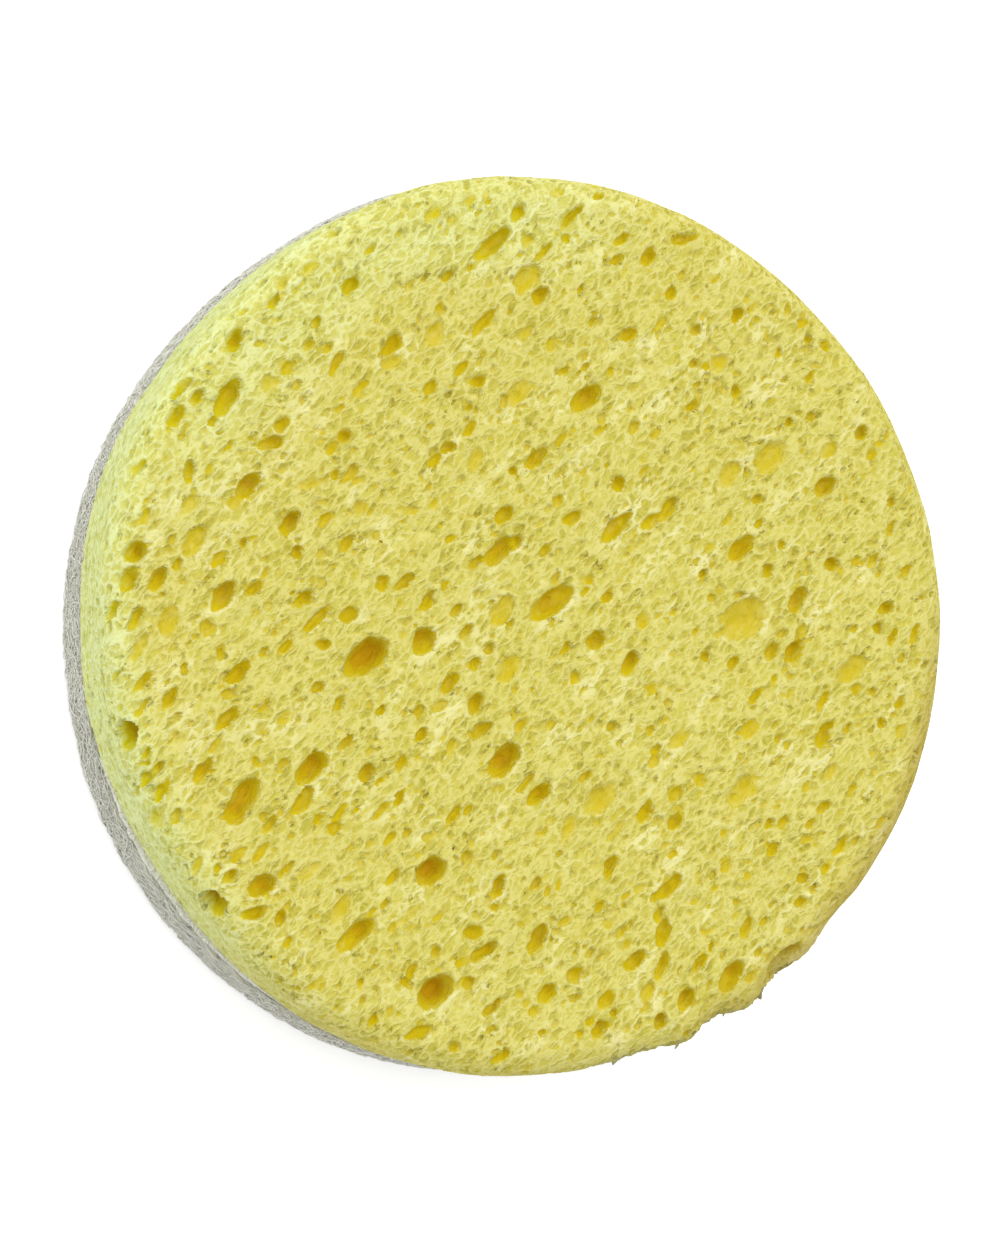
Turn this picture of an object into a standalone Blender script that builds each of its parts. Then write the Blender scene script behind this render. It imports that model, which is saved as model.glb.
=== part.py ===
"""Round two-layer scouring pad, lying flat with its sponge side up.

A die-cut disc of open-cell cellulose sponge is bonded to a disc of pale
non-woven scouring fibre of nearly the same outline. The sponge's upper rim is
rounded over, its face and wall are open with drawn-out pores, and its edge is
torn into small tufts at the lower right.

Units are metres, +Z is up, and the origin is the middle of the underside.
"""

import math
import random

import bmesh
import bpy
from mathutils import Matrix, Vector, noise

# The two layers
SPONGE_DIAMETER = 0.100
SPONGE_THICKNESS = 0.0120
SCOURER_THICKNESS = 0.0060
SCOURER_OVERHANG = 0.0006
BOND_GAP = 0.0003

# Their edges
FACE_ROUNDING = 0.0034
BACK_ROUNDING = 0.0005
SCOURER_ROUNDING = 0.0007
ROUNDING_STEPS = 3
EDGE_SEGMENTS = 92

# Matted fibre on the scouring layer's wall, which only sinks in from the trimmed outline
FIBRE_LUMP_DEPTH = 0.0006
FIBRE_LUMP_SPACING = 0.0024
WALL_ROWS = 3

# Places where the die-cut outline isn't round: (degrees, half width in degrees, metres out)
OUTLINE_MARKS = (
    (8.0, 18.0, 0.0003),
    (50.0, 20.0, -0.0002),
    (96.0, 30.0, 0.0005),
    (136.0, 30.0, -0.0007),
    (247.0, 40.0, 0.0007),
)

# Bulges and notches of the sponge's torn stretch, written the same way
TORN_MARKS = (
    (290.5, 5.5, 0.0007),
    (296.0, 5.0, -0.0006),
    (301.0, 5.5, 0.0006),
    (306.0, 5.0, -0.0004),
    (322.0, 16.0, -0.0003),
)

# Torn tufts on the sponge's edge: (degrees, share of the sponge's height)
TORN_TUFTS = (
    (280.5, 0.50),
    (283.5, 0.68),
    (289.5, 0.62),
    (292.0, 0.45),
    (299.5, 0.55),
    (302.6, 0.68),
)
TUFT_LENGTH = 0.0009
TUFT_WIDTH = 0.0026
TUFT_TIP = 0.0005
TUFT_ROOT = 0.0012
TUFT_DROOP = 25.0

# The photograph's line of sight: degrees from straight above, degrees from +X of the side it
# leans to, and how far off the camera is in diameters
VIEW_TILT = 20.4
VIEW_SIDE = 185.0
VIEW_DISTANCE = 4.0

# Places in the picture were read against the yellow outline, x to the right and y up. The stretch
# and the shift put them on the plane through the pad's foot square to the line of sight.
SEEN_STRETCH = (0.994, 1.035)
SEEN_SHIFT = (2.1, 0.0)
SIGHT_STEP = 0.0001

# Pores that stand out: x and y in the picture in hundredths of the sponge's diameter,
# length and width in hundredths too, and the turn of the long axis in degrees
DEEP_PORES = (
    (-1.7, 42.8, 5.0, 2.1, 45),
    (1.4, 46.3, 2.2, 1.4, 50),
    (3.9, 37.1, 2.6, 1.5, 45),
    (9.4, 25.7, 2.6, 1.6, 50),
    (3.4, 19.0, 2.6, 1.6, 45),
    (-1.2, 8.4, 2.6, 1.8, 40),
    (12.8, 11.2, 4.2, 1.7, 45),
    (5.2, 2.8, 5.2, 2.3, 42),
    (-16.3, -3.4, 5.2, 3.3, 38),
    (-9.7, -1.5, 3.3, 2.5, 40),
    (10.4, -1.4, 2.8, 1.8, 35),
    (14.4, -3.9, 3.2, 1.8, 35),
    (33.9, 3.1, 3.2, 2.0, 40),
    (33.5, -2.7, 2.8, 1.9, 35),
    (27.3, 8.9, 3.4, 1.9, 40),
    (37.1, 15.7, 3.0, 1.9, 45),
    (-30.6, -19.3, 4.6, 2.5, 40),
    (-22.7, -15.8, 4.4, 2.3, 42),
    (-22.8, -19.5, 3.4, 1.8, 35),
    (-8.8, -27.4, 2.8, 2.4, 40),
    (-8.2, -40.8, 4.4, 2.8, 35),
    (-17.5, -34.4, 4.6, 1.8, 48),
    (-0.4, -14.8, 3.4, 1.8, 40),
    (3.9, -18.7, 3.2, 1.9, 35),
    (18.8, -29.1, 3.4, 1.8, 38),
    (26.3, -38.6, 4.2, 2.4, 48),
    (32.2, -37.6, 4.6, 2.6, 46),
    (17.5, -43.0, 2.0, 1.5, 40),
    (3.6, -34.9, 3.4, 1.8, 45),
    (4.7, -41.0, 3.0, 1.7, 42),
    (-30.1, 15.9, 3.0, 1.6, 58),
    (-31.6, 32.2, 2.6, 1.6, 60),
    (-32.6, 25.7, 2.8, 1.6, 60),
    (-38.6, 23.8, 2.6, 1.5, 62),
    (-27.3, 20.7, 2.8, 1.6, 55),
    (-25.2, 11.8, 3.2, 1.7, 52),
    (-13.3, 31.6, 3.0, 1.7, 50),
    (-18.1, 38.3, 2.8, 1.6, 50),
    (-42.9, 9.0, 2.4, 1.5, 62),
    (-43.6, 5.4, 2.2, 1.4, 62),
    (-33.2, 3.3, 3.2, 1.8, 55),
    (-38.6, 5.4, 2.6, 1.6, 60),
    (-43.6, -12.0, 2.6, 2.2, 60),
    (-34.0, -30.6, 3.0, 2.5, 45),
    (-31.8, -26.9, 2.4, 1.5, 50),
    (-28.3, -28.6, 2.6, 1.5, 48),
    (-26.2, -32.4, 2.4, 1.5, 45),
    (-10.3, -45.4, 2.4, 1.5, 40),
    (-0.9, -29.0, 2.8, 1.6, 42),
    (21.3, 24.9, 3.2, 1.7, 45),
    (13.1, 16.1, 2.8, 1.6, 45),
    (20.5, 42.4, 2.8, 1.6, 45),
    (12.7, 42.6, 3.2, 1.6, 48),
    (27.3, 35.0, 3.0, 1.6, 45),
    (43.4, 2.2, 2.6, 1.6, 45),
)

# Wide shallow hollows, written the same way
SHALLOW_HOLLOWS = (
    (27.6, 0.9, 5.6, 3.4, 35),
    (40.2, -4.7, 4.0, 2.4, 38),
    (30.8, 19.0, 4.4, 2.6, 45),
    (26.4, 14.9, 4.2, 2.6, 42),
    (10.8, -19.3, 4.6, 2.6, 40),
    (27.3, -18.2, 4.8, 2.2, 35),
    (-41.0, -21.6, 3.6, 2.2, 55),
)
DEEP_PORE_DEPTH = 0.95
SHALLOW_DEPTH = 0.30
PORE_LEAN = 14.0

# Smaller pores scattered over the face and the wall
SMALL_PORE_LENGTH = (0.0011, 0.0019)
SMALL_PORE_SHAPE = 0.60
SMALL_PORE_DEPTH = 0.80
FACE_PORE_COUNT = 76
FACE_GRAIN_TURN = 42.0
WALL_PORE_LENGTH = (0.0014, 0.0026)
WALL_PORE_COUNT = 40
PIT_LENGTH = (0.0010, 0.0017)
PIT_COUNT = 26
PORE_SPACING = 0.0004
WALL_PORE_ROLL = -60.0
TRIES_PER_PORE = 40
SEED = 11

SPONGE_RADIUS = SPONGE_DIAMETER / 2
SPONGE_BACK = SCOURER_THICKNESS + BOND_GAP
SPONGE_FACE = SPONGE_BACK + SPONGE_THICKNESS
SCOURER_RADIUS = SPONGE_RADIUS + SCOURER_OVERHANG
HUNDREDTH = SPONGE_DIAMETER / 100

SPONGE_COLOUR = "D4C860"
SCOURER_COLOUR = "C9CAB6"


def linear(hex_colour):
    """Linear RGBA of an sRGB hex colour."""
    channels = []
    for start in (0, 2, 4):
        value = int(hex_colour[start:start + 2], 16) / 255
        low = value / 12.92
        high = ((value + 0.055) / 1.055) ** 2.4
        channels.append(low if value <= 0.04045 else high)
    return (*channels, 1.0)


def make_material(name, hex_colour, roughness):
    """A matt, non-metallic material."""
    material = bpy.data.materials.new(name)
    material.use_nodes = True
    shader = material.node_tree.nodes["Principled BSDF"]
    shader.inputs["Base Color"].default_value = linear(hex_colour)
    shader.inputs["Roughness"].default_value = roughness
    shader.inputs["Metallic"].default_value = 0.0
    return material


def sponge_material():
    return make_material("yellow_cellulose", SPONGE_COLOUR, 0.85)


def scourer_material():
    return make_material("pale_scouring_fibre", SCOURER_COLOUR, 0.9)


def clear_scene():
    for thing in list(bpy.data.objects):
        bpy.data.objects.remove(thing, do_unlink=True)


def make_collection(name):
    collection = bpy.data.collections.new(name)
    bpy.context.scene.collection.children.link(collection)
    return collection


def add_object(name, shape, collection):
    """Turns a bmesh into an object at the origin."""
    mesh = bpy.data.meshes.new(name)
    shape.to_mesh(mesh)
    shape.free()
    thing = bpy.data.objects.new(name, mesh)
    collection.objects.link(thing)
    return thing


def add_cutter(name, shape, collection):
    """Adds a shape that is only cut away or joined on."""
    cutter = add_object(name, shape, collection)
    cutter.hide_render = True
    cutter.display_type = "WIRE"
    return cutter


def marks_offset(angle, marks):
    """How far the marks move the edge out or in at an angle, in metres."""
    offset = 0.0
    for centre, half_width, height in marks:
        away = (math.degrees(angle) - centre + 180) % 360 - 180
        if abs(away) < half_width:
            offset += height * math.cos(math.pi / 2 * away / half_width) ** 2
    return offset


def sponge_edge(angle):
    return SPONGE_RADIUS + marks_offset(angle, OUTLINE_MARKS + TORN_MARKS)


def scourer_edge(angle):
    return SCOURER_RADIUS + marks_offset(angle, OUTLINE_MARKS)


def face_height(distance, edge):
    """Height of the sponge's face, which falls away over the rounded rim."""
    into_rim = distance - (edge - FACE_ROUNDING)
    if into_rim <= 0:
        return SPONGE_FACE
    drop = FACE_ROUNDING - math.sqrt(max(FACE_ROUNDING**2 - into_rim**2, 0))
    return SPONGE_FACE - drop


def skin_reach(drop, edge):
    """Distance from the middle to the sponge's skin, at a drop below the face."""
    rise = FACE_ROUNDING - min(drop, FACE_ROUNDING)
    return edge - FACE_ROUNDING + math.sqrt(FACE_ROUNDING**2 - rise**2)


def seen_place(x, y):
    """Carries a place in the picture along the line of sight to the sponge's skin.

    Returns the place and its drop below the face.
    """
    tilt, side = math.radians(VIEW_TILT), math.radians(VIEW_SIDE)
    back = Vector((math.sin(tilt) * math.cos(side), math.sin(tilt) * math.sin(side), math.cos(tilt)))
    right = Vector((0, 1, 0)).cross(back).normalized()
    eye = back * VIEW_DISTANCE * SPONGE_DIAMETER
    target = right * (x * SEEN_STRETCH[0] + SEEN_SHIFT[0]) + back.cross(right) * (y * SEEN_STRETCH[1] + SEEN_SHIFT[1])
    ray = target * HUNDREDTH - eye
    for step in range(int(SPONGE_THICKNESS / SIGHT_STEP)):
        drop = step * SIGHT_STEP
        place = eye + ray * ((SPONGE_FACE - drop - eye.z) / ray.z)
        if place.xy.length <= skin_reach(drop, sponge_edge(math.atan2(place.y, place.x))):
            break
    return place, drop


def make_disc(radius, low, high, edge_at):
    """A bmesh cylinder from low to high whose edge follows edge_at."""
    shape = bmesh.new()
    middle = Matrix.Translation((0, 0, (low + high) / 2))
    bmesh.ops.create_cone(
        shape,
        cap_ends=True,
        segments=EDGE_SEGMENTS,
        radius1=radius,
        radius2=radius,
        depth=high - low,
        matrix=middle,
    )
    for vertex in shape.verts:
        share = edge_at(math.atan2(vertex.co.y, vertex.co.x)) / radius
        vertex.co.x *= share
        vertex.co.y *= share
    return shape


def weigh_rims(mesh, top_weight, bottom_weight):
    """Bevel weights for the edges round the top and the bottom of a disc."""
    middle = sum(vertex.co.z for vertex in mesh.vertices) / len(mesh.vertices)
    weights = mesh.attributes.new("bevel_weight_edge", "FLOAT", "EDGE")
    for edge in mesh.edges:
        heights = [mesh.vertices[index].co.z for index in edge.vertices]
        if min(heights) > middle:
            weights.data[edge.index].value = top_weight
        elif max(heights) < middle:
            weights.data[edge.index].value = bottom_weight


def round_rims(thing, top, bottom):
    """Rounds the top and the bottom rim, each to its own radius."""
    widest = max(top, bottom)
    weigh_rims(thing.data, top / widest, bottom / widest)
    bevel = thing.modifiers.new("rounded_rims", "BEVEL")
    bevel.limit_method = "WEIGHT"
    bevel.width = widest
    bevel.segments = ROUNDING_STEPS
    return bevel


def boolean(thing, name, cutter, operation):
    modifier = thing.modifiers.new(name, "BOOLEAN")
    modifier.solver = "EXACT"
    modifier.use_self = True
    modifier.operation = operation
    modifier.object = cutter
    return modifier


def add_pore(shape, place, turn, half_sizes, steps):
    """Adds one closed ellipsoid; turn takes its local -Z into the material."""
    scale = Matrix.Diagonal((*half_sizes, 1.0))
    matrix = Matrix.Translation(place) @ turn.to_4x4() @ scale
    bmesh.ops.create_uvsphere(shape, u_segments=steps[0], v_segments=steps[1], radius=1.0, matrix=matrix)


def face_turn(degrees, lean):
    """Long axis turned in the face's plane and dipping towards its far end."""
    spin = Matrix.Rotation(math.radians(degrees), 3, "Z")
    dip = Matrix.Rotation(math.radians(lean), 3, "Y")
    return spin @ dip


def wall_turn(angle, roll, dig):
    """Local +Z along the outward normal, which rises by dig radians."""
    outward = Vector((math.cos(angle) * math.cos(dig), math.sin(angle) * math.cos(dig), math.sin(dig)))
    roll_matrix = Matrix.Rotation(roll, 3, "Z")
    return outward.to_track_quat("Z", "Y").to_matrix() @ roll_matrix


def far_enough(place, reach, taken):
    for other, other_reach in taken:
        if (place - other).length < reach + other_reach + PORE_SPACING:
            return False
    return True


def add_marked_pores(shape, rows, depth_share, taken):
    """Adds the pores and hollows that stand out, on the face or where the wall shows."""
    for x, y, length, width, turn in rows:
        place, drop = seen_place(x, y)
        half_sizes = Vector((length / 2, width / 2, width * depth_share)) * HUNDREDTH
        if drop > FACE_ROUNDING / 2:
            lowest = SPONGE_BACK + half_sizes.x + BACK_ROUNDING + PORE_SPACING
            place.z = max(place.z, lowest)
            axes = wall_turn(math.atan2(place.y, place.x), math.radians(WALL_PORE_ROLL), 0.0)
        else:
            axes = face_turn(turn, PORE_LEAN * depth_share)
        add_pore(shape, place, axes, half_sizes, (8, 5))
        taken.append((place, half_sizes.x))


def add_face_pores(shape, chance, taken):
    """Scatters smaller pores over the face, drawn out along its grain."""
    for _ in range(FACE_PORE_COUNT * TRIES_PER_PORE):
        if len(taken) >= FACE_PORE_COUNT + len(DEEP_PORES) + len(SHALLOW_HOLLOWS):
            break
        distance = (SPONGE_RADIUS - FACE_ROUNDING / 3) * math.sqrt(chance.random())
        angle = chance.uniform(-math.pi, math.pi)
        length = chance.uniform(*SMALL_PORE_LENGTH)
        turn = FACE_GRAIN_TURN - 16 * math.cos(angle) * distance / SPONGE_RADIUS + chance.gauss(0, 10)
        place = Vector((distance * math.cos(angle), distance * math.sin(angle), 0))
        place.z = face_height(distance, sponge_edge(angle))
        if not far_enough(place, length / 2, taken):
            continue
        half_sizes = Vector((length, length * SMALL_PORE_SHAPE, length * SMALL_PORE_DEPTH)) / 2
        add_pore(shape, place, face_turn(turn, PORE_LEAN), half_sizes, (6, 4))
        taken.append((place, length / 2))


def scatter_on_wall(shape, chance, count, lengths, low, high, edge_at, taken):
    """Scatters pores over an upright wall between two heights."""
    start = len(taken)
    for _ in range(count * TRIES_PER_PORE):
        if len(taken) - start >= count:
            break
        angle = chance.uniform(-math.pi, math.pi)
        length = chance.uniform(*lengths)
        height = chance.uniform(low + length / 2, high - length / 2)
        roll = chance.uniform(-0.5, 0.5)
        place = Vector((math.cos(angle), math.sin(angle), 0)) * edge_at(angle)
        place.z = height
        if not far_enough(place, length / 2, taken):
            continue
        half_sizes = Vector((length * SMALL_PORE_SHAPE, length, length * SMALL_PORE_DEPTH)) / 2
        add_pore(shape, place, wall_turn(angle, roll, 0.0), half_sizes, (7, 4))
        taken.append((place, length / 2))


def make_pores(cutters):
    """All the sponge's pores, as one cutter."""
    chance = random.Random(SEED)
    shape = bmesh.new()
    taken = []
    add_marked_pores(shape, DEEP_PORES, DEEP_PORE_DEPTH, taken)
    add_marked_pores(shape, SHALLOW_HOLLOWS, SHALLOW_DEPTH, taken)
    add_face_pores(shape, chance, taken)
    low = SPONGE_BACK + BACK_ROUNDING + PORE_SPACING
    high = SPONGE_FACE - FACE_ROUNDING / 2
    scatter_on_wall(shape, chance, WALL_PORE_COUNT, WALL_PORE_LENGTH, low, high, sponge_edge, taken)
    return add_cutter("sponge_pores", shape, cutters)


def make_tufts(cutters):
    """Small torn points that hang off the sponge's edge."""
    shape = bmesh.new()
    for degrees, share in TORN_TUFTS:
        angle = math.radians(degrees)
        reach = TUFT_ROOT + TUFT_LENGTH
        centre = Vector((math.cos(angle), math.sin(angle), 0)) * (sponge_edge(angle) - TUFT_ROOT + reach / 2)
        centre.z = SPONGE_BACK + SPONGE_THICKNESS * share
        turn = wall_turn(angle, 0.0, -math.radians(TUFT_DROOP)).to_4x4()
        bmesh.ops.create_cone(
            shape,
            cap_ends=True,
            segments=5,
            radius1=TUFT_WIDTH / 2,
            radius2=TUFT_TIP / 2,
            depth=reach,
            matrix=Matrix.Translation(centre) @ turn,
        )
    return add_cutter("torn_tufts", shape, cutters)


def make_sponge(parts, cutters):
    """The sponge disc: rounded rim, torn tufts, then the pores."""
    disc = make_disc(SPONGE_RADIUS, SPONGE_BACK, SPONGE_FACE, sponge_edge)
    sponge = add_object("cellulose_sponge", disc, parts)
    round_rims(sponge, FACE_ROUNDING, BACK_ROUNDING)
    boolean(sponge, "tufts", make_tufts(cutters), "UNION")
    boolean(sponge, "pores", make_pores(cutters), "DIFFERENCE")
    sponge.data.materials.append(sponge_material())
    return sponge


def sink_wall(shape):
    """Sinks the scouring layer's wall between the lumps of matted fibre.

    The row at mid height keeps the trimmed outline.
    """
    middle = SCOURER_THICKNESS / 2
    for vertex in shape.verts:
        across = vertex.co.xy.length
        inmost = scourer_edge(math.atan2(vertex.co.y, vertex.co.x)) - SCOURER_ROUNDING * 2
        if across < inmost or abs(vertex.co.z - middle) < 1e-6:
            continue
        lump = 0.5 + 0.5 * noise.noise(vertex.co / FIBRE_LUMP_SPACING)
        share = 1 - FIBRE_LUMP_DEPTH * min(max(lump, 0), 1) / across
        vertex.co.x *= share
        vertex.co.y *= share


def make_pits(cutters):
    """Small openings between the fibres on the scouring layer's wall."""
    chance = random.Random(SEED)
    shape = bmesh.new()
    low = SCOURER_ROUNDING
    high = SCOURER_THICKNESS - SCOURER_ROUNDING
    scatter_on_wall(shape, chance, PIT_COUNT, PIT_LENGTH, low, high, scourer_edge, [])
    return add_cutter("fibre_pits", shape, cutters)


def make_scourer(parts, cutters):
    """The scouring layer: a flat-bottomed disc with a lumpy, pitted wall."""
    shape = make_disc(SCOURER_RADIUS, 0.0, SCOURER_THICKNESS, scourer_edge)
    rims = [edge for edge in shape.edges if abs(edge.verts[0].co.z - edge.verts[1].co.z) < 1e-6]
    bmesh.ops.bevel(shape, geom=rims, offset=SCOURER_ROUNDING, segments=2, profile=0.5, affect="EDGES")
    for row in range(1, WALL_ROWS + 1):
        height = SCOURER_ROUNDING + (SCOURER_THICKNESS - 2 * SCOURER_ROUNDING) * row / (WALL_ROWS + 1)
        geometry = shape.verts[:] + shape.edges[:] + shape.faces[:]
        bmesh.ops.bisect_plane(shape, geom=geometry, plane_co=(0, 0, height), plane_no=(0, 0, 1))
    sink_wall(shape)
    scourer = add_object("scouring_layer", shape, parts)
    boolean(scourer, "pits", make_pits(cutters), "DIFFERENCE")
    scourer.data.materials.append(scourer_material())
    return scourer


def shade(thing):
    """Smooth shading with the pores' mouths kept sharp."""
    thing.data.shade_smooth()
    thing.data.set_sharp_from_angle(angle=math.radians(35))


def main():
    clear_scene()
    parts = make_collection("scouring_pad")
    cutters = make_collection("cutters")
    shade(make_scourer(parts, cutters))
    shade(make_sponge(parts, cutters))


main()
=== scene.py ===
"""Round two-layer scouring pad: yellow cellulose sponge bonded to pale scouring fibre.

The sponge is one closed surface whose pores are sunk into it, the scouring layer is a lumpy core
under a mat of curly fibres. Sizes are in metres, +Z is up, and the pad lies on the floor.
"""

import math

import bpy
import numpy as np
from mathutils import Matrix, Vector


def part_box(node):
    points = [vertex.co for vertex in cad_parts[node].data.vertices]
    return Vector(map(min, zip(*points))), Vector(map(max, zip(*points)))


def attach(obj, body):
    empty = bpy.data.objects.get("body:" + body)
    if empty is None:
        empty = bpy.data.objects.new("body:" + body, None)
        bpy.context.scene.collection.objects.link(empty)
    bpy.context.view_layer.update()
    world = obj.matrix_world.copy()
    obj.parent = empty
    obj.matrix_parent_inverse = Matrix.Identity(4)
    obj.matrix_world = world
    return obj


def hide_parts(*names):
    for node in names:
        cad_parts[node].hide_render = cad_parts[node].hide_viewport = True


bl_info = {
    "name": "Round scouring pad",
    "version": (1, 0, 0),
    "blender": (4, 5, 0),
    "location": "3D View > Sidebar > Pad",
    "description": "Makes a round cellulose sponge with a scouring layer, and a plain stage for it",
    "category": "Add Mesh",
}

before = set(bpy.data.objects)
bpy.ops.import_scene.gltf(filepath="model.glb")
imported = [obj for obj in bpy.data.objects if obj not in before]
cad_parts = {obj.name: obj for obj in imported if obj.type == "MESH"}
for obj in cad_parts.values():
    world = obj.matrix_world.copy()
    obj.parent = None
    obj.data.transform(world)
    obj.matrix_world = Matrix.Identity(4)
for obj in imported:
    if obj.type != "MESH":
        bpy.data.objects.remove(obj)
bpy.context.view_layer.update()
SPONGE_LOW, SPONGE_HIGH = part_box("cellulose_sponge")
FIBRE_LOW, FIBRE_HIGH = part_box("scouring_layer")
BODY = "root"
MM = 0.001

# Places where the die-cut outline isn't round: degrees, half width in degrees, metres out
OUTLINE_MARKS = (
    (8.0, 18.0, 0.0003),
    (50.0, 20.0, -0.0002),
    (96.0, 30.0, 0.0005),
    (136.0, 30.0, -0.0007),
    (247.0, 40.0, 0.0007),
)

# Small differences of each layer's own outline, written the same way
SPONGE_MARKS = (
    (96.0, 30.0, -0.0004),
    (136.0, 30.0, 0.0002),
    (163.0, 20.0, 0.0003),
    (222.0, 35.0, -0.0006),
)
FIBRE_MARKS = (
    (120.0, 20.0, -0.0003),
    (160.0, 40.0, -0.0003),
    (212.0, 28.0, 0.0004),
)

# Bulges and notches of the sponge's torn stretch
TORN_MARKS = (
    (283.0, 8.0, -0.0003),
    (290.5, 3.6, 0.0004),
    (295.6, 4.4, -0.0006),
    (300.6, 3.6, 0.0004),
    (306.5, 5.0, -0.0006),
    (317.0, 6.0, -0.0005),
    (322.0, 16.0, -0.0004),
)

# The photograph's line of sight, and how the pores' places in the picture are read
VIEW_TILT = math.radians(20.4)
VIEW_SIDE = math.radians(185.0)
VIEW_DISTANCE = 0.40
FRAME_HEIGHT = 0.1448
AIM = (1.25 * MM, 0.27 * MM)
SEEN_STRETCH = (0.994, 1.035)
SEEN_SHIFT = (2.1, 0.0)

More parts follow.
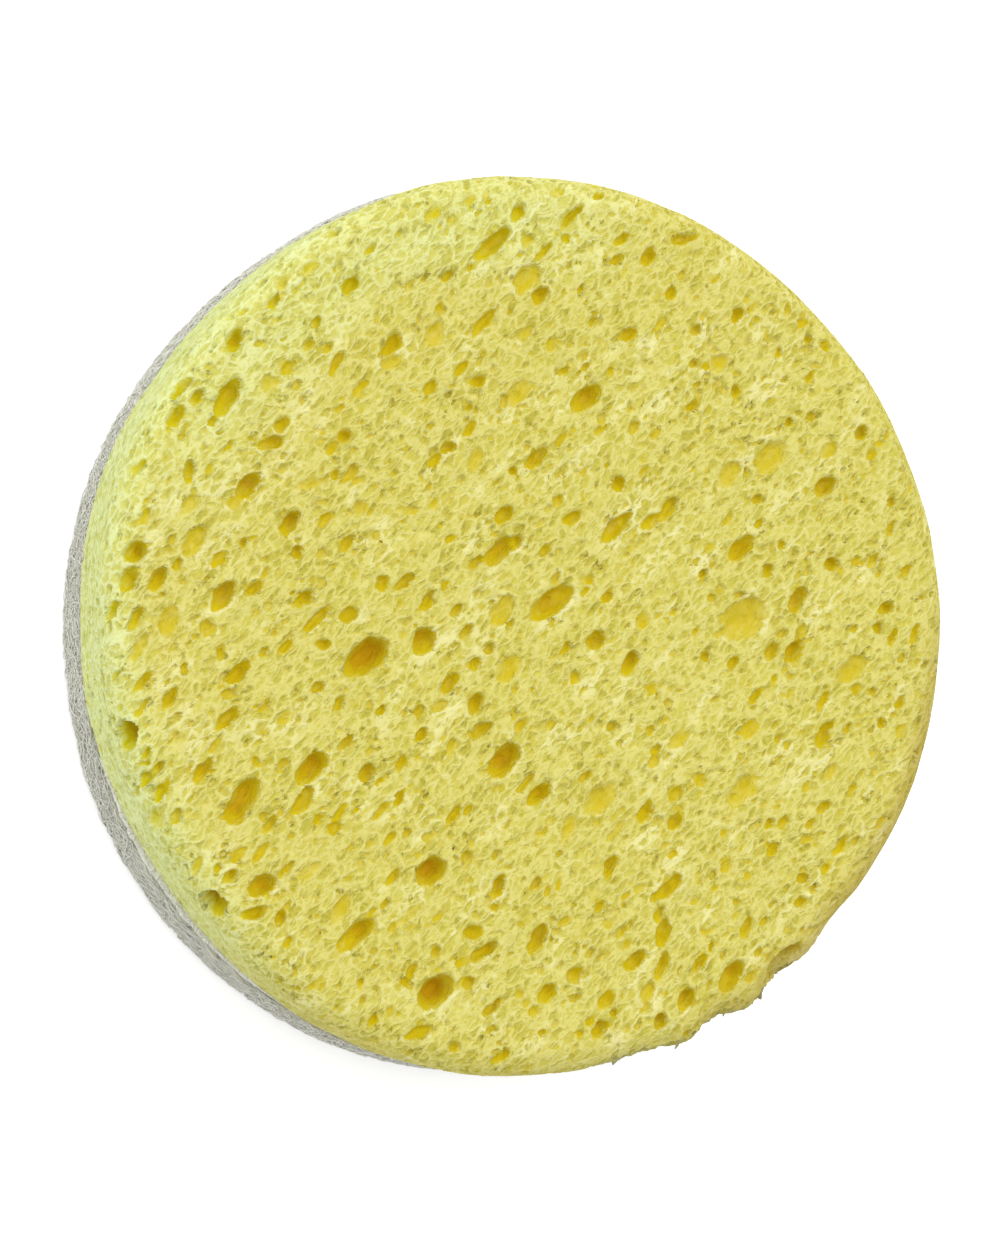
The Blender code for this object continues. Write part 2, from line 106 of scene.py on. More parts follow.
# Pores that stand out: x and y in the picture, length and width in millimetres, turn in degrees
DEEP_PORES = (
    (-1.7, 42.8, 5.4, 2.1, 45), (1.4, 46.3, 2.2, 1.4, 50), (3.9, 37.1, 2.6, 1.5, 45),
    (9.3, 25.6, 4.2, 2.3, 38), (3.4, 19.0, 3.0, 1.8, 45), (-0.8, 8.6, 4.4, 2.2, 40),
    (12.8, 11.2, 4.6, 1.8, 45), (5.2, 2.8, 5.6, 2.5, 36), (-16.3, -3.4, 5.6, 3.4, 38),
    (-9.7, -1.5, 3.2, 2.6, 70), (10.4, -1.4, 2.6, 1.9, 45), (14.4, -3.9, 3.0, 1.8, 60),
    (33.9, 3.1, 3.2, 2.0, 60), (33.5, -2.7, 3.0, 2.1, 50), (27.3, 8.9, 4.0, 2.2, 40),
    (37.1, 15.7, 3.0, 1.9, 45), (-30.8, -19.6, 5.4, 2.8, 55), (-22.7, -15.8, 4.4, 2.4, 42),
    (-23.6, -19.4, 3.4, 1.8, 55), (-8.8, -27.4, 3.6, 3.0, 40), (-8.2, -40.8, 4.4, 3.2, 35),
    (-17.5, -34.4, 5.0, 2.2, 38), (-0.4, -15.0, 4.4, 2.9, 50), (3.9, -18.7, 3.2, 1.9, 35),
    (18.8, -29.1, 3.8, 1.8, 38), (26.2, -39.2, 4.2, 2.3, 55), (32.2, -37.4, 5.2, 2.4, 48),
    (17.8, -44.2, 2.0, 1.6, 70), (3.6, -34.9, 3.4, 1.8, 62), (4.7, -41.0, 2.6, 1.7, 42),
    (-30.1, 15.9, 3.4, 2.0, 45), (-31.6, 32.2, 2.8, 1.9, 60), (-32.6, 25.7, 4.2, 1.9, 58),
    (-38.4, 23.8, 2.6, 1.6, 55), (-27.5, 20.6, 2.8, 1.6, 15), (-25.2, 11.8, 3.0, 1.9, 48),
    (-13.3, 31.6, 3.0, 1.8, 50), (-18.1, 38.3, 2.4, 1.6, 50), (-43.2, 8.6, 2.6, 2.2, 30),
    (-43.9, 5.4, 2.8, 1.8, 65), (-32.9, 3.6, 3.6, 2.0, 52), (-40.5, 5.4, 2.8, 1.6, 55),
    (-44.3, -12.0, 3.2, 2.8, 60), (-34.3, -31.0, 3.2, 2.8, 120), (-32.2, -27.9, 1.9, 1.3, 40),
    (-28.4, -28.9, 3.2, 2.2, 20), (-29.4, -32.0, 3.2, 1.4, 20), (-26.3, -32.5, 1.9, 1.3, 70),
    (-10.3, -45.4, 3.2, 1.5, 20), (-0.9, -29.0, 2.8, 1.6, 60), (21.7, 24.9, 1.9, 1.4, 30),
    (13.1, 16.1, 1.9, 1.5, 45), (20.8, 43.6, 3.4, 1.4, 15), (13.4, 43.4, 2.2, 1.1, 35),
    (26.8, 34.9, 1.9, 1.4, 45), (44.1, 2.1, 2.0, 1.5, 45), (21.0, -41.7, 2.6, 1.9, 55),
    (14.9, -37.4, 2.8, 1.6, 40), (18.2, -38.0, 3.4, 1.4, 62), (18.2, -34.2, 3.2, 1.7, 75),
    (28.0, -33.6, 2.6, 1.2, 55), (7.9, -38.8, 2.0, 1.5, 35), (11.6, -41.8, 2.4, 1.6, 55),
    (10.9, -45.1, 2.4, 1.5, 45), (22.5, -37.7, 2.2, 1.4, 50), (34.4, -30.7, 1.8, 1.2, 45),
    (-39.1, -8.0, 2.8, 1.3, 60), (-31.1, -5.0, 3.2, 1.7, 42), (-32.5, -10.3, 3.0, 1.5, 42),
    (-35.4, -16.1, 3.2, 1.4, 55), (-40.2, -18.2, 2.9, 1.2, 58), (-29.4, 4.4, 2.4, 1.4, 45),
    (-23.5, 3.1, 2.4, 1.5, 40), (-0.3, 12.7, 2.5, 1.8, 40), (7.6, 12.3, 2.8, 1.4, 35),
    (18.7, 13.2, 3.2, 1.5, 45), (-11.9, 5.1, 2.6, 1.3, 35), (-9.2, 2.9, 2.6, 1.2, 55),
    (-3.5, -8.6, 2.5, 1.7, 65), (-2.9, -11.6, 3.0, 1.3, 35), (-6.7, -6.3, 2.8, 1.4, 42),
    (12.9, 41.3, 2.0, 1.1, 30), (7.5, 45.8, 4.0, 1.1, 50), (4.3, 42.0, 2.6, 1.0, 45),
    (-2.7, 34.1, 3.8, 1.2, 50), (-5.2, 28.9, 2.2, 1.1, 45), (-3.3, 27.4, 2.0, 1.2, 20),
    (-6.7, 20.1, 2.0, 1.3, 20), (-18.9, 21.5, 1.8, 1.5, 40), (14.2, 32.8, 2.2, 1.3, 30),
    (16.5, 41.5, 2.2, 1.5, 60), (-27.1, 36.5, 2.0, 1.1, 50), (-19.7, 29.6, 3.0, 1.1, 60),
    (-18.3, 1.4, 2.4, 1.6, 30), (-21.3, -1.8, 1.8, 1.3, 0), (-21.9, -6.6, 1.7, 1.0, 20),
    (-25.7, -2.2, 2.2, 0.9, 50), (-22.2, 1.0, 4.4, 1.2, 45), (-43.1, 1.0, 2.4, 1.2, 60),
    (-33.3, -2.7, 1.9, 0.9, 80), (-18.6, -12.9, 2.2, 1.1, 50), (-16.3, -16.2, 2.4, 1.7, 45),
    (-12.3, -15.2, 2.0, 1.3, 60), (-12.6, -19.2, 2.0, 1.1, 60), (-13.4, -33.7, 1.5, 1.0, 60),
    (-3.9, -34.1, 2.6, 1.6, 20), (-2.8, -36.3, 3.6, 1.5, 35), (-11.0, -38.6, 2.2, 1.0, 60),
    (-1.7, -42.6, 2.4, 1.2, 42), (-0.7, -48.1, 2.2, 1.1, 45), (16.2, -20.7, 2.8, 1.5, 60),
    (12.1, -26.9, 2.6, 1.5, 65), (19.7, -21.6, 2.2, 1.4, 50), (30.9, -24.9, 2.0, 1.3, 50),
    (37.0, -12.0, 3.2, 1.7, 55), (36.9, -8.4, 3.0, 1.1, 55), (39.0, -24.5, 2.8, 1.1, 45),
    (30.5, 6.4, 1.7, 1.3, 60), (37.9, 7.0, 2.0, 1.5, 30), (45.0, -1.1, 2.0, 1.2, 70),
    (47.5, -0.8, 2.6, 1.0, 70), (30.9, -2.7, 2.2, 1.4, 60), (29.0, -7.6, 2.4, 0.9, 50),
    (41.4, 21.8, 1.7, 1.5, 45), (-37.0, 17.2, 2.6, 1.2, 80),
    (19.1, 37.3, 1.8, 1.2, 55),
)

# Middling pores, which lie along the grain: x, y, length and width
MIDDLING_PORES = (
    (-4.7, -0.5, 2.2, 1.2), (6.9, -2.4, 1.8, 1.1), (-3.6, -4.2, 1.6, 1.4), (8.0, -5.7, 1.5, 1.1),
    (-10.2, -9.5, 1.5, 1.2), (1.7, -11.0, 2.4, 1.1), (16.7, -11.5, 1.2, 1.0), (17.2, -15.0, 2.0, 1.1),
    (19.8, -18.7, 2.2, 1.3), (-10.0, -12.0, 2.0, 1.2), (9.6, 5.3, 1.5, 1.2), (11.8, 3.4, 1.6, 1.1),
    (4.5, 8.6, 1.7, 1.1), (-5.8, 1.9, 1.8, 1.1), (-26.2, 22.7, 2.2, 1.3), (-25.4, 29.1, 2.0, 1.3),
    (-33.5, 7.6, 2.2, 1.2), (-27.6, -22.0, 2.2, 1.1), (-31.1, -25.4, 2.0, 1.2), (-38.4, -21.1, 1.7, 1.3),
    (10.9, -31.3, 1.8, 1.1), (23.9, 3.3, 1.3, 1.0), (22.8, 6.0, 1.3, 1.1), (32.1, 9.2, 1.2, 1.0),
    (40.7, 7.4, 1.5, 1.0), (42.7, 7.6, 2.0, 1.0), (46.7, 6.3, 2.0, 0.9), (43.4, 0.0, 1.4, 1.2),
    (40.4, -0.3, 1.2, 0.8), (31.0, -5.9, 1.4, 1.0), (26.4, -3.9, 1.6, 1.4), (23.1, -3.4, 1.4, 1.1),
    (40.8, -6.9, 1.6, 1.1), (42.5, -7.3, 1.2, 0.9), (45.9, -8.4, 1.4, 1.2), (31.6, -12.5, 1.1, 0.9),
    (39.8, -11.2, 1.2, 0.9), (43.7, -10.8, 1.4, 1.1), (45.9, -11.5, 1.8, 1.0), (22.4, -16.9, 1.4, 1.1),
    (16.4, 12.0, 2.6, 0.9), (25.7, 12.0, 1.8, 0.8), (29.5, 11.7, 1.4, 0.8), (29.2, 14.4, 1.5, 1.3),
    (44.8, 14.0, 1.2, 1.1), (44.8, 11.2, 1.8, 0.9), (22.0, -0.6, 1.3, 0.7), (19.4, 1.8, 1.2, 0.7),
    (18.8, -8.4, 1.2, 0.8), (18.3, -10.4, 1.4, 0.8), (20.4, 39.5, 1.4, 0.8), (22.0, 33.3, 1.6, 1.3),
    (35.2, 32.3, 1.2, 1.1), (37.1, 31.4, 1.4, 1.3), (31.5, 30.7, 1.4, 0.7), (21.7, 29.5, 1.3, 1.0),
    (22.3, 27.1, 1.2, 0.6), (26.7, 26.4, 1.6, 1.2), (33.0, 22.9, 1.2, 1.1), (35.5, 23.6, 1.2, 1.2),
    (42.4, 19.4, 1.6, 1.1), (18.0, 34.0, 1.8, 0.9), (35.4, 27.9, 1.8, 1.0), (10.8, 48.3, 1.8, 1.2),
    (7.0, 43.5, 1.4, 1.2), (-15.8, 42.2, 1.6, 0.9), (-6.8, 39.3, 1.8, 1.0), (-9.4, 39.2, 1.2, 0.9),
    (-8.9, 26.8, 2.0, 1.2), (-16.9, 26.9, 2.8, 1.0), (-4.5, 24.6, 1.2, 0.9), (-4.3, 22.3, 2.2, 1.1),
    (-8.4, 18.7, 2.0, 1.0), (6.4, 21.2, 2.0, 1.0), (6.7, 28.6, 1.6, 1.0), (9.1, 29.3, 1.2, 0.8),
    (12.0, 28.5, 1.4, 0.9), (9.9, 34.2, 1.2, 0.8), (14.8, 22.4, 1.6, 0.9), (-18.1, 17.3, 2.4, 1.3),
    (-7.8, 35.9, 1.4, 0.9), (15.8, 17.6, 1.8, 0.8), (-4.3, 40.3, 1.2, 0.8), (-22.1, 34.1, 1.6, 1.0),
    (-23.0, 31.6, 1.4, 1.2), (-20.7, 31.3, 1.4, 0.8), (-19.2, 24.6, 1.2, 0.8), (-20.4, 20.1, 2.0, 1.2),
    (-19.8, 17.2, 1.3, 1.0), (-37.9, 26.7, 3.0, 1.1), (-36.0, 25.7, 2.0, 1.2), (-32.3, 20.5, 1.4, 0.7),
    (-34.7, 17.6, 1.2, 1.0), (-42.8, 17.6, 2.4, 1.2), (-34.1, 23.2, 1.4, 1.0), (-26.2, 38.7, 1.4, 1.0),
    (-20.1, 44.2, 1.8, 0.9), (-30.6, 9.5, 1.2, 1.1), (-24.3, 8.5, 1.5, 1.3), (-18.6, 9.4, 2.4, 1.2),
    (-38.2, 7.0, 1.2, 1.1), (-28.2, 6.1, 1.6, 0.8), (-46.0, 2.0, 2.2, 1.1), (-28.1, -2.7, 1.4, 0.8),
    (-47.2, -5.6, 1.8, 1.2), (-42.2, -6.1, 2.8, 1.2), (-42.4, -9.0, 2.4, 0.9), (-32.0, -7.4, 1.6, 0.9),
    (-28.2, -8.8, 1.8, 0.8), (-28.1, -11.4, 1.2, 0.7), (-34.0, -13.2, 2.2, 0.8), (-42.0, -14.0, 1.5, 1.1),
    (-46.0, -13.4, 2.0, 1.3), (-40.6, -15.9, 2.0, 1.2), (-29.3, -15.3, 1.2, 1.1), (-26.0, -15.5, 1.7, 1.0),
    (-21.2, 12.0, 2.0, 1.2), (-8.4, 14.0, 1.6, 0.9), (5.9, 14.1, 1.8, 1.1), (0.9, 17.5, 1.4, 1.1),
    (17.1, 12.1, 2.6, 1.0), (-3.6, 7.2, 1.9, 1.1), (1.2, 9.5, 1.8, 1.3), (-14.5, 4.9, 1.8, 1.5),
    (-7.1, 4.7, 1.2, 0.8), (9.1, 3.9, 1.2, 0.8), (-1.3, 1.0, 1.6, 1.0), (-2.0, -2.5, 1.5, 1.1),
    (-14.7, -9.3, 1.2, 0.9), (12.3, -11.1, 1.6, 1.0), (-41.9, -16.9, 1.8, 1.1), (-28.5, -25.2, 3.0, 1.0),
    (-25.6, -27.2, 2.4, 0.8), (-25.6, -35.3, 1.2, 1.0), (-21.8, -21.4, 1.6, 0.9), (-20.1, -22.4, 1.8, 1.3),
    (-19.5, -20.7, 2.6, 0.9), (-14.5, -20.4, 2.8, 1.0), (-13.4, -23.5, 1.6, 1.0), (-11.6, -23.2, 1.1, 0.9),
    (-6.1, -20.9, 2.4, 1.1), (-4.3, -20.3, 1.4, 0.8), (2.2, -17.4, 2.8, 0.9), (9.2, -16.7, 1.8, 0.9),
    (3.4, -28.8, 1.7, 1.3), (-4.6, -25.7, 1.6, 1.1), (-13.2, -28.0, 2.4, 1.0), (-1.4, -31.4, 1.4, 1.1),
    (-5.2, -37.5, 1.6, 1.2), (-8.3, -36.4, 1.3, 1.1), (-8.1, -32.5, 1.6, 0.9), (-11.9, -39.8, 1.4, 1.0),
    (-17.0, -39.8, 1.2, 0.9), (-16.7, -41.7, 1.4, 0.8), (-15.6, -44.0, 1.6, 1.1), (-13.4, -42.8, 1.4, 0.9),
    (-4.5, -39.8, 1.6, 1.4), (-6.0, -47.0, 1.4, 1.1), (1.5, -41.2, 1.4, 0.9), (3.2, -43.1, 1.3, 1.0),
    (4.2, -45.3, 1.2, 0.9), (14.0, -35.5, 1.6, 0.9), (12.4, -43.1, 1.2, 1.0), (22.6, -17.2, 1.3, 1.1),
    (32.1, -21.7, 1.8, 1.3), (30.5, -22.0, 1.4, 0.9), (35.4, -22.0, 1.4, 0.9), (36.9, -20.2, 1.8, 1.1),
    (40.2, -18.1, 1.6, 1.0), (34.8, -17.9, 1.6, 0.8), (43.7, -21.6, 1.1, 0.7), (34.5, -28.0, 1.4, 1.1),
    (37.2, -27.0, 1.3, 0.9), (35.9, -29.1, 1.3, 0.8), (28.0, -27.9, 1.4, 0.8), (24.2, -29.4, 1.4, 0.8),
    (26.7, -30.8, 1.2, 0.8), (29.5, -36.5, 1.2, 0.9), (19.3, -25.5, 1.2, 0.9), (17.2, -30.2, 1.5, 1.1),
)

# Wide shallow hollows, written as the first pores are
SHALLOW_HOLLOWS = (
    (27.6, 0.9, 5.6, 4.4, 35), (40.2, -4.7, 4.0, 2.8, 38), (30.8, 19.0, 4.6, 3.0, 45),
    (25.9, 17.2, 3.6, 2.2, 50), (10.8, -19.3, 4.6, 2.8, 40), (27.3, -18.2, 4.8, 2.6, 45),
    (-41.0, -21.6, 3.6, 2.2, 55), (2.4, 39.0, 3.8, 2.8, 50), (1.5, 26.2, 3.6, 2.2, 45),
    (-36.4, 9.5, 3.6, 2.2, 55), (-0.6, 1.8, 3.8, 2.4, 45), (0.2, -4.6, 3.6, 2.4, 48),
    (20.0, -12.4, 2.8, 1.9, 45), (-8.4, 32.8, 3.0, 2.0, 60), (-13.4, 29.6, 2.6, 1.6, 20),
    (2.2, 33.0, 2.2, 1.3, 40), (5.3, 31.6, 1.9, 1.6, 45), (5.9, 48.8, 2.0, 1.4, 30),
    (-8.6, 46.4, 2.8, 1.4, 45), (-4.3, 47.9, 2.0, 1.1, 40), (2.4, 43.2, 1.8, 1.5, 45),
    (-3.5, 18.8, 3.2, 1.6, 60), (24.6, 29.6, 2.8, 1.8, 30), (37.5, 19.8, 2.4, 1.6, 40),
    (32.7, 35.5, 1.9, 1.0, 80), (-23.0, 40.2, 3.4, 1.3, 50), (-27.8, 27.2, 2.8, 1.8, 30),
    (-37.0, 13.7, 3.2, 1.6, 50), (-31.7, 14.1, 1.8, 1.4, 45), (-23.0, 16.0, 3.4, 1.4, 20),
    (-42.1, 12.3, 3.0, 1.1, 50), (-39.3, 0.7, 3.2, 2.5, 60), (-34.9, 0.0, 2.0, 1.9, 60),
    (-42.8, -2.3, 3.4, 1.5, 60), (-25.7, -10.0, 3.0, 1.4, 30), (-11.5, 13.1, 2.8, 1.0, 10),
    (-16.9, 13.4, 1.9, 1.5, 45), (15.9, 0.8, 2.0, 1.5, 45), (17.0, -6.7, 1.8, 1.5, 30),
    (-7.8, -8.9, 2.0, 1.5, 20), (-6.5, -13.5, 2.0, 1.3, 60), (5.0, -11.0, 1.7, 1.2, 45),
    (7.2, -22.4, 3.8, 1.8, 65), (12.6, -22.8, 3.4, 1.2, 45), (-19.2, -31.5, 4.0, 2.0, 50),
    (-23.0, -27.5, 3.2, 1.5, 35), (-36.0, -26.5, 3.0, 1.1, 50), (-11.8, -32.4, 4.2, 1.3, 40),
    (-9.3, -23.5, 2.0, 1.1, 20), (28.2, -11.4, 2.8, 2.0, 45), (32.9, -7.4, 1.4, 1.0, 45),
    (11.8, -33.3, 1.8, 1.4, 30), (2.2, -32.8, 2.0, 1.0, 30), (6.7, -33.0, 2.0, 1.2, 20),
    (25.5, -26.6, 2.0, 1.7, 40), (23.6, -34.1, 2.0, 1.2, 30), (16.3, -41.0, 2.4, 1.6, 60),
    (37.6, -16.3, 2.6, 1.4, 45), (-22.1, -39.8, 2.6, 1.0, 30), (-24.8, -38.4, 2.0, 0.9, 90),
    (-1.6, -45.1, 1.8, 1.0, 10), (23.6, 8.9, 1.6, 1.1, 45), (34.4, -0.5, 1.8, 1.4, 45),
)


def linear(hex_colour):
    """Linear RGB of an sRGB hex colour."""
    channels = np.array([int(hex_colour[start:start + 2], 16) / 255 for start in (0, 2, 4)])
    curve = ((channels + 0.055) / 1.055) ** 2.4
    return tuple(float(value) for value in np.where(channels <= 0.04045, channels / 12.92, curve))


def colour(name, description, hex_colour):
    """A colour property whose default is an sRGB hex colour."""
    return bpy.props.FloatVectorProperty(
        name=name,
        description=description,
        default=linear(hex_colour),
        subtype="COLOR",
        size=3,
        min=0.0,
        max=1.0,
    )


def length(name, description, default):
    """A length property in metres."""
    return bpy.props.FloatProperty(
        name=name, description=description, default=default, unit="LENGTH", precision=5
    )


class SpongeSettings(bpy.types.PropertyGroup):
    """Sizes and colours of the cellulose sponge."""

    rim_rounding: length("Rim rounding", "Radius of the sponge's upper rim", 3.4 * MM)
    back_rounding: length("Back rounding", "Radius of the rim next to the fibre", 0.5 * MM)
    medium_length: length("Medium pore", "Length of a middling pore", 1.20 * MM)
    small_length: length("Small pore", "Length of a small pore", 0.85 * MM)
    grain_long: length("Grain length", "Length of the fine cells along the grain", 2.00 * MM)
    grain_short: length("Grain width", "Width of the fine cells across the grain", 0.85 * MM)
    web: colour("Web", "Pale webs between the pores", "DBD278")
    bleached: colour("Bleached", "Cream patches where the webs are densest", "E8E29A")
    # Cell, hollow, deep and deepest colours are painted shade: the further in a cell or pore lies, the
    # darker, warmer and more golden it is
    cell: colour("Cell", "Yellow inside of the shallow cells", "CEC456")
    hollow: colour("Hollow", "Olive inside of the open cells", "B8AC3E")
    deep: colour("Deep", "Golden floor of the deep pores", "CDB808")
    deepest: colour("Deepest", "Brown gold at the bottom of the deepest pores", "C49C00")
    # The lower right rim's brown is painted shade, where the rim turns away from the light, with a little
    # brown of its own
    mustard_tone_and_shade: colour("Mustard", "Brown cast along the lower right rim", "B39A40")
    # The left rim's webs are painted cool light, pale and greenish
    lime_light: colour("Lime", "Pale webs along the left rim", "E9EEAC")
    # The torn edge's olive is painted shade there, and it also mottles the shreds' film
    torn: colour("Torn", "Olive line along the torn edge", "8C8A58")
    film: colour("Film", "Grey-green film of the torn shreds", "B9B792")
    # How far the painted cool light of the left rim turns the hue
    lime_light_shift: bpy.props.FloatProperty(
        name="Lime shift",
        description="How far the hue turns to green along the left rim, as a share of the colour circle",
        default=0.026,
        min=0.0,
        max=0.2,
    )


class FibreSettings(bpy.types.PropertyGroup):
    """Sizes and colours of the scouring layer."""

    rim_rounding: length("Rim rounding", "Radius of the layer's lower rim", 0.7 * MM)
    thickness: length("Fibre thickness", "Diameter of one fibre", 0.11 * MM)
    fibre_length: length("Fibre length", "Length of the part of a fibre that shows", 6.0 * MM)
    mat: length("Mat", "Thickness of the mat of fibres on the core", 0.35 * MM)
    fibre: colour("Fibre", "Pale fibre", "F6F6EB")
    gap: colour("Gap", "Shaded gaps between the fibres", "E8E7DB")


class StageSettings(bpy.types.PropertyGroup):
    """Camera and light."""

    distance: length("Camera distance", "From the camera to the pad", VIEW_DISTANCE)
    tilt: bpy.props.FloatProperty(
        name="Camera tilt",
        description="How far the camera leans from straight above",
        default=VIEW_TILT,
        subtype="ANGLE",
    )
    side: bpy.props.FloatProperty(
        name="Camera side",
        description="Side that the camera leans to, from +X",
        default=VIEW_SIDE,
        subtype="ANGLE",
    )
    floor: colour("Floor", "Pale floor", "F4F4F4")


# Numbers, noise and cells

TABLE_BITS = 16
TABLE = np.random.default_rng(5).random(1 << TABLE_BITS)


def unit(vectors):
    """Vectors divided by their own lengths."""
    return vectors / np.linalg.norm(vectors, axis=-1, keepdims=True)


def smooth_step(value, low, high):
    """0 up to low, 1 from high on, and three squares less two cubes of the share between them."""
    share = np.clip((value - low) / (high - low), 0, 1)
    return share * share * (3 - 2 * share)


def lattice_value(cells, channel):
    """Random number of each whole-numbered cell: its indices are mixed into a place in a table."""
    mixed = cells[:, 0] * 73856093 ^ cells[:, 1] * 19349663 ^ cells[:, 2] * 83492791
    return TABLE[(mixed ^ channel * 40503) & ((1 << TABLE_BITS) - 1)]


def smooth_noise(points, spacing, channel):
    """Lattice values blended by smoothstep between a point's eight corners, from -1 to 1."""
    scaled = points / spacing
    low = np.floor(scaled).astype(np.int64)
    part = scaled - low
    part = part * part * (3 - 2 * part)
    total = np.zeros(len(points))
    for corner in np.ndindex(2, 2, 2):
        weight = np.prod(np.where(np.array(corner) == 1, part, 1 - part), axis=1)
        total += weight * lattice_value(low + np.array(corner), channel)
    return 2 * total - 1


def noise_vector(points, spacing, channel):
    """Three noises side by side, as a vector for each point."""
    return np.stack([smooth_noise(points, spacing, channel + axis) for axis in range(3)], axis=1)


def add_layers(start, noise, points, layers):
    """Adds layers of a noise to a start: each has its spacing and height in millimetres, and its channel."""
    for spacing, height, channel in layers:
        start = start + noise(points, spacing * MM, channel) * height * MM
    return start


def cell_pattern(points, channel):
    """Distance to the nearest of jittered cell middles, and that cell's random number."""
    low = np.floor(points).astype(np.int64)
    nearest = np.full(len(points), 9.0)
    owner = np.zeros(len(points))
    for step in np.ndindex(3, 3, 3):
        cell = low + np.array(step) - 1
        jitter = np.stack([lattice_value(cell, channel + axis) for axis in range(3)], axis=1)
        distance = np.linalg.norm(points - cell - jitter, axis=1)
        closer = distance < nearest
        owner = np.where(closer, lattice_value(cell, channel + 3), owner)
        nearest = np.minimum(nearest, distance)
    return nearest, owner


# Surfaces

def disc_grid(cells, rings):
    """A closed disc's two parameters and faces.

    A square grid is bent into the disc's face: the larger of the two coordinates is the share of
    the way out and their ratio turns it. The grid's edge then goes on in rings over the rim and
    along the other side to a pole. Returns the way (0 to 1 on the face, 1 to 2 beyond it), the
    angle, the quads and the triangles.
    """
    line = np.linspace(-1, 1, cells + 1)
    across, up = np.meshgrid(line, line)
    across, up = across.ravel(), up.ravel()
    wide = np.abs(across) > np.abs(up)
    longer = np.where(wide, across, np.where(up == 0, 1e-12, up))
    turn = np.pi / 4 * np.where(wide, up, across) / longer
    turn = np.where(wide, turn, np.pi / 2 - turn)
    way = np.abs(longer)
    angle = turn + np.where(longer < 0, np.pi, 0)

    number = np.arange((cells + 1) ** 2).reshape(cells + 1, cells + 1)
    face = np.stack([number[:-1, :-1], number[:-1, 1:], number[1:, 1:], number[1:, :-1]], axis=-1)
    loop = np.concatenate([number[0, :-1], number[:-1, -1], number[-1, :0:-1], number[:0:-1, 0]])
    count = len(loop)
    start = (cells + 1) ** 2
    ring = start + np.arange(rings * count).reshape(rings, count)
    rows = np.vstack([loop, ring])
    after = np.roll(rows, -1, axis=1)
    wall = np.stack([rows[:-1], rows[1:], after[1:], after[:-1]], axis=-1)
    pole = start + rings * count
    fan = np.stack([rows[-1], np.full(count, pole), after[-1]], axis=-1)

    ring_way = np.repeat(1 + np.arange(1, rings + 1) / (rings + 1), count)
    way = np.concatenate([way, ring_way, [2.0]])
    angle = np.concatenate([angle, np.tile(angle[loop], rings), [0.0]])
    return way, angle, np.vstack([face.reshape(-1, 4), wall.reshape(-1, 4)]), fan


def edge_radius(angle, radius, marks):
    """The radius, with each edge mark added as a squared cosine about its own angle."""
    edge = np.full(np.shape(angle), float(radius))
    for centre, half_width, height in marks:
        away = (np.degrees(angle) - centre + 180) % 360 - 180
        bump = height * np.cos(np.pi / 2 * away / half_width) ** 2
        edge += np.where(np.abs(away) < half_width, bump, 0)
    return edge


def rounded_disc(along, angle, edge, low, high, face_round, back_round):
    """Point and outward normal at a distance along a disc's profile.

    The profile runs out over the face, round a quarter circle, down the wall, round a second
    quarter circle and back in under the disc.
    """
    left = along
    flat = np.clip(left, 0, edge - face_round)
    left = left - flat
    over = np.clip(left, 0, np.pi / 2 * face_round) / face_round
    left = left - over * face_round
    down = np.clip(left, 0, high - low - face_round - back_round)
    left = left - down
    under = np.clip(left, 0, np.pi / 2 * back_round) / back_round
    inward = left - under * back_round
    radius = flat + face_round * np.sin(over) - back_round * (1 - np.cos(under)) - inward
    height = high - face_round * (1 - np.cos(over)) - down - back_round * np.sin(under)
    lean = over + under
    point = np.stack([radius * np.cos(angle), radius * np.sin(angle), height], axis=-1)
    outward = np.sin(lean)
    normal = np.stack([outward * np.cos(angle), outward * np.sin(angle), np.cos(lean)], axis=-1)
    return point, normal


def profile_marks(edge, low, high, face_round, back_round):
    """Distances along the profile to the end of the upper rounding, of the wall, and to the pole."""
    rim = edge - face_round + np.pi / 2 * face_round
    wall = rim + high - low - face_round - back_round + np.pi / 2 * back_round
    return rim, wall, wall + edge - back_round


def along_profile(way, marks, wall_share):
    """Turns the grid's way into a distance along the profile.

    The face and its rounding take the way from 0 to 1, the wall the next wall_share of it, and
    the other side the rest.
    """
    rim, wall, pole = marks
    beyond = way - 1
    on_wall = rim + (wall - rim) * beyond / wall_share
    on_back = wall + (pole - wall) * (beyond - wall_share) / (1 - wall_share)
    return np.where(way <= 1, way * rim, np.where(beyond <= wall_share, on_wall, on_back))


def make_mesh(name, points, quads, triangles, shares=None):
    """A mesh from whole arrays, with an optional number for each point."""
    mesh = bpy.data.meshes.new(name)
    corners = np.concatenate([quads.ravel(), triangles.ravel()]).astype(np.int32)
    starts = np.concatenate([
        np.arange(len(quads)) * 4,
        quads.size + np.arange(len(triangles)) * 3,
    ]).astype(np.int32)
    mesh.vertices.add(len(points))
    mesh.loops.add(len(corners))
    mesh.polygons.add(len(starts))
    mesh.vertices.foreach_set("co", points.astype(np.float32).ravel())
    mesh.loops.foreach_set("vertex_index", corners)
    mesh.polygons.foreach_set("loop_start", starts)
    mesh.polygons.foreach_set("use_smooth", np.ones(len(starts), bool))
    for key, values in (shares or {}).items():
        layer = mesh.attributes.new(key, "FLOAT", "POINT")
        layer.data.foreach_set("value", values.astype(np.float32))
    mesh.update(calc_edges=True)
    return mesh


def add_object(name, content):
    """A new object that holds a mesh, a lamp or a camera, linked to the scene."""
    item = bpy.data.objects.new(name, content)
    bpy.context.scene.collection.objects.link(item)
    return item


def add_piece(name, mesh, material, slot, *nodes):
    """Links a finished mesh as a piece of the pad."""
    piece = add_object(name, mesh)
    piece.data.materials.append(material)
    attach(piece, BODY)
    if nodes:
        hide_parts(*nodes)
    return piece


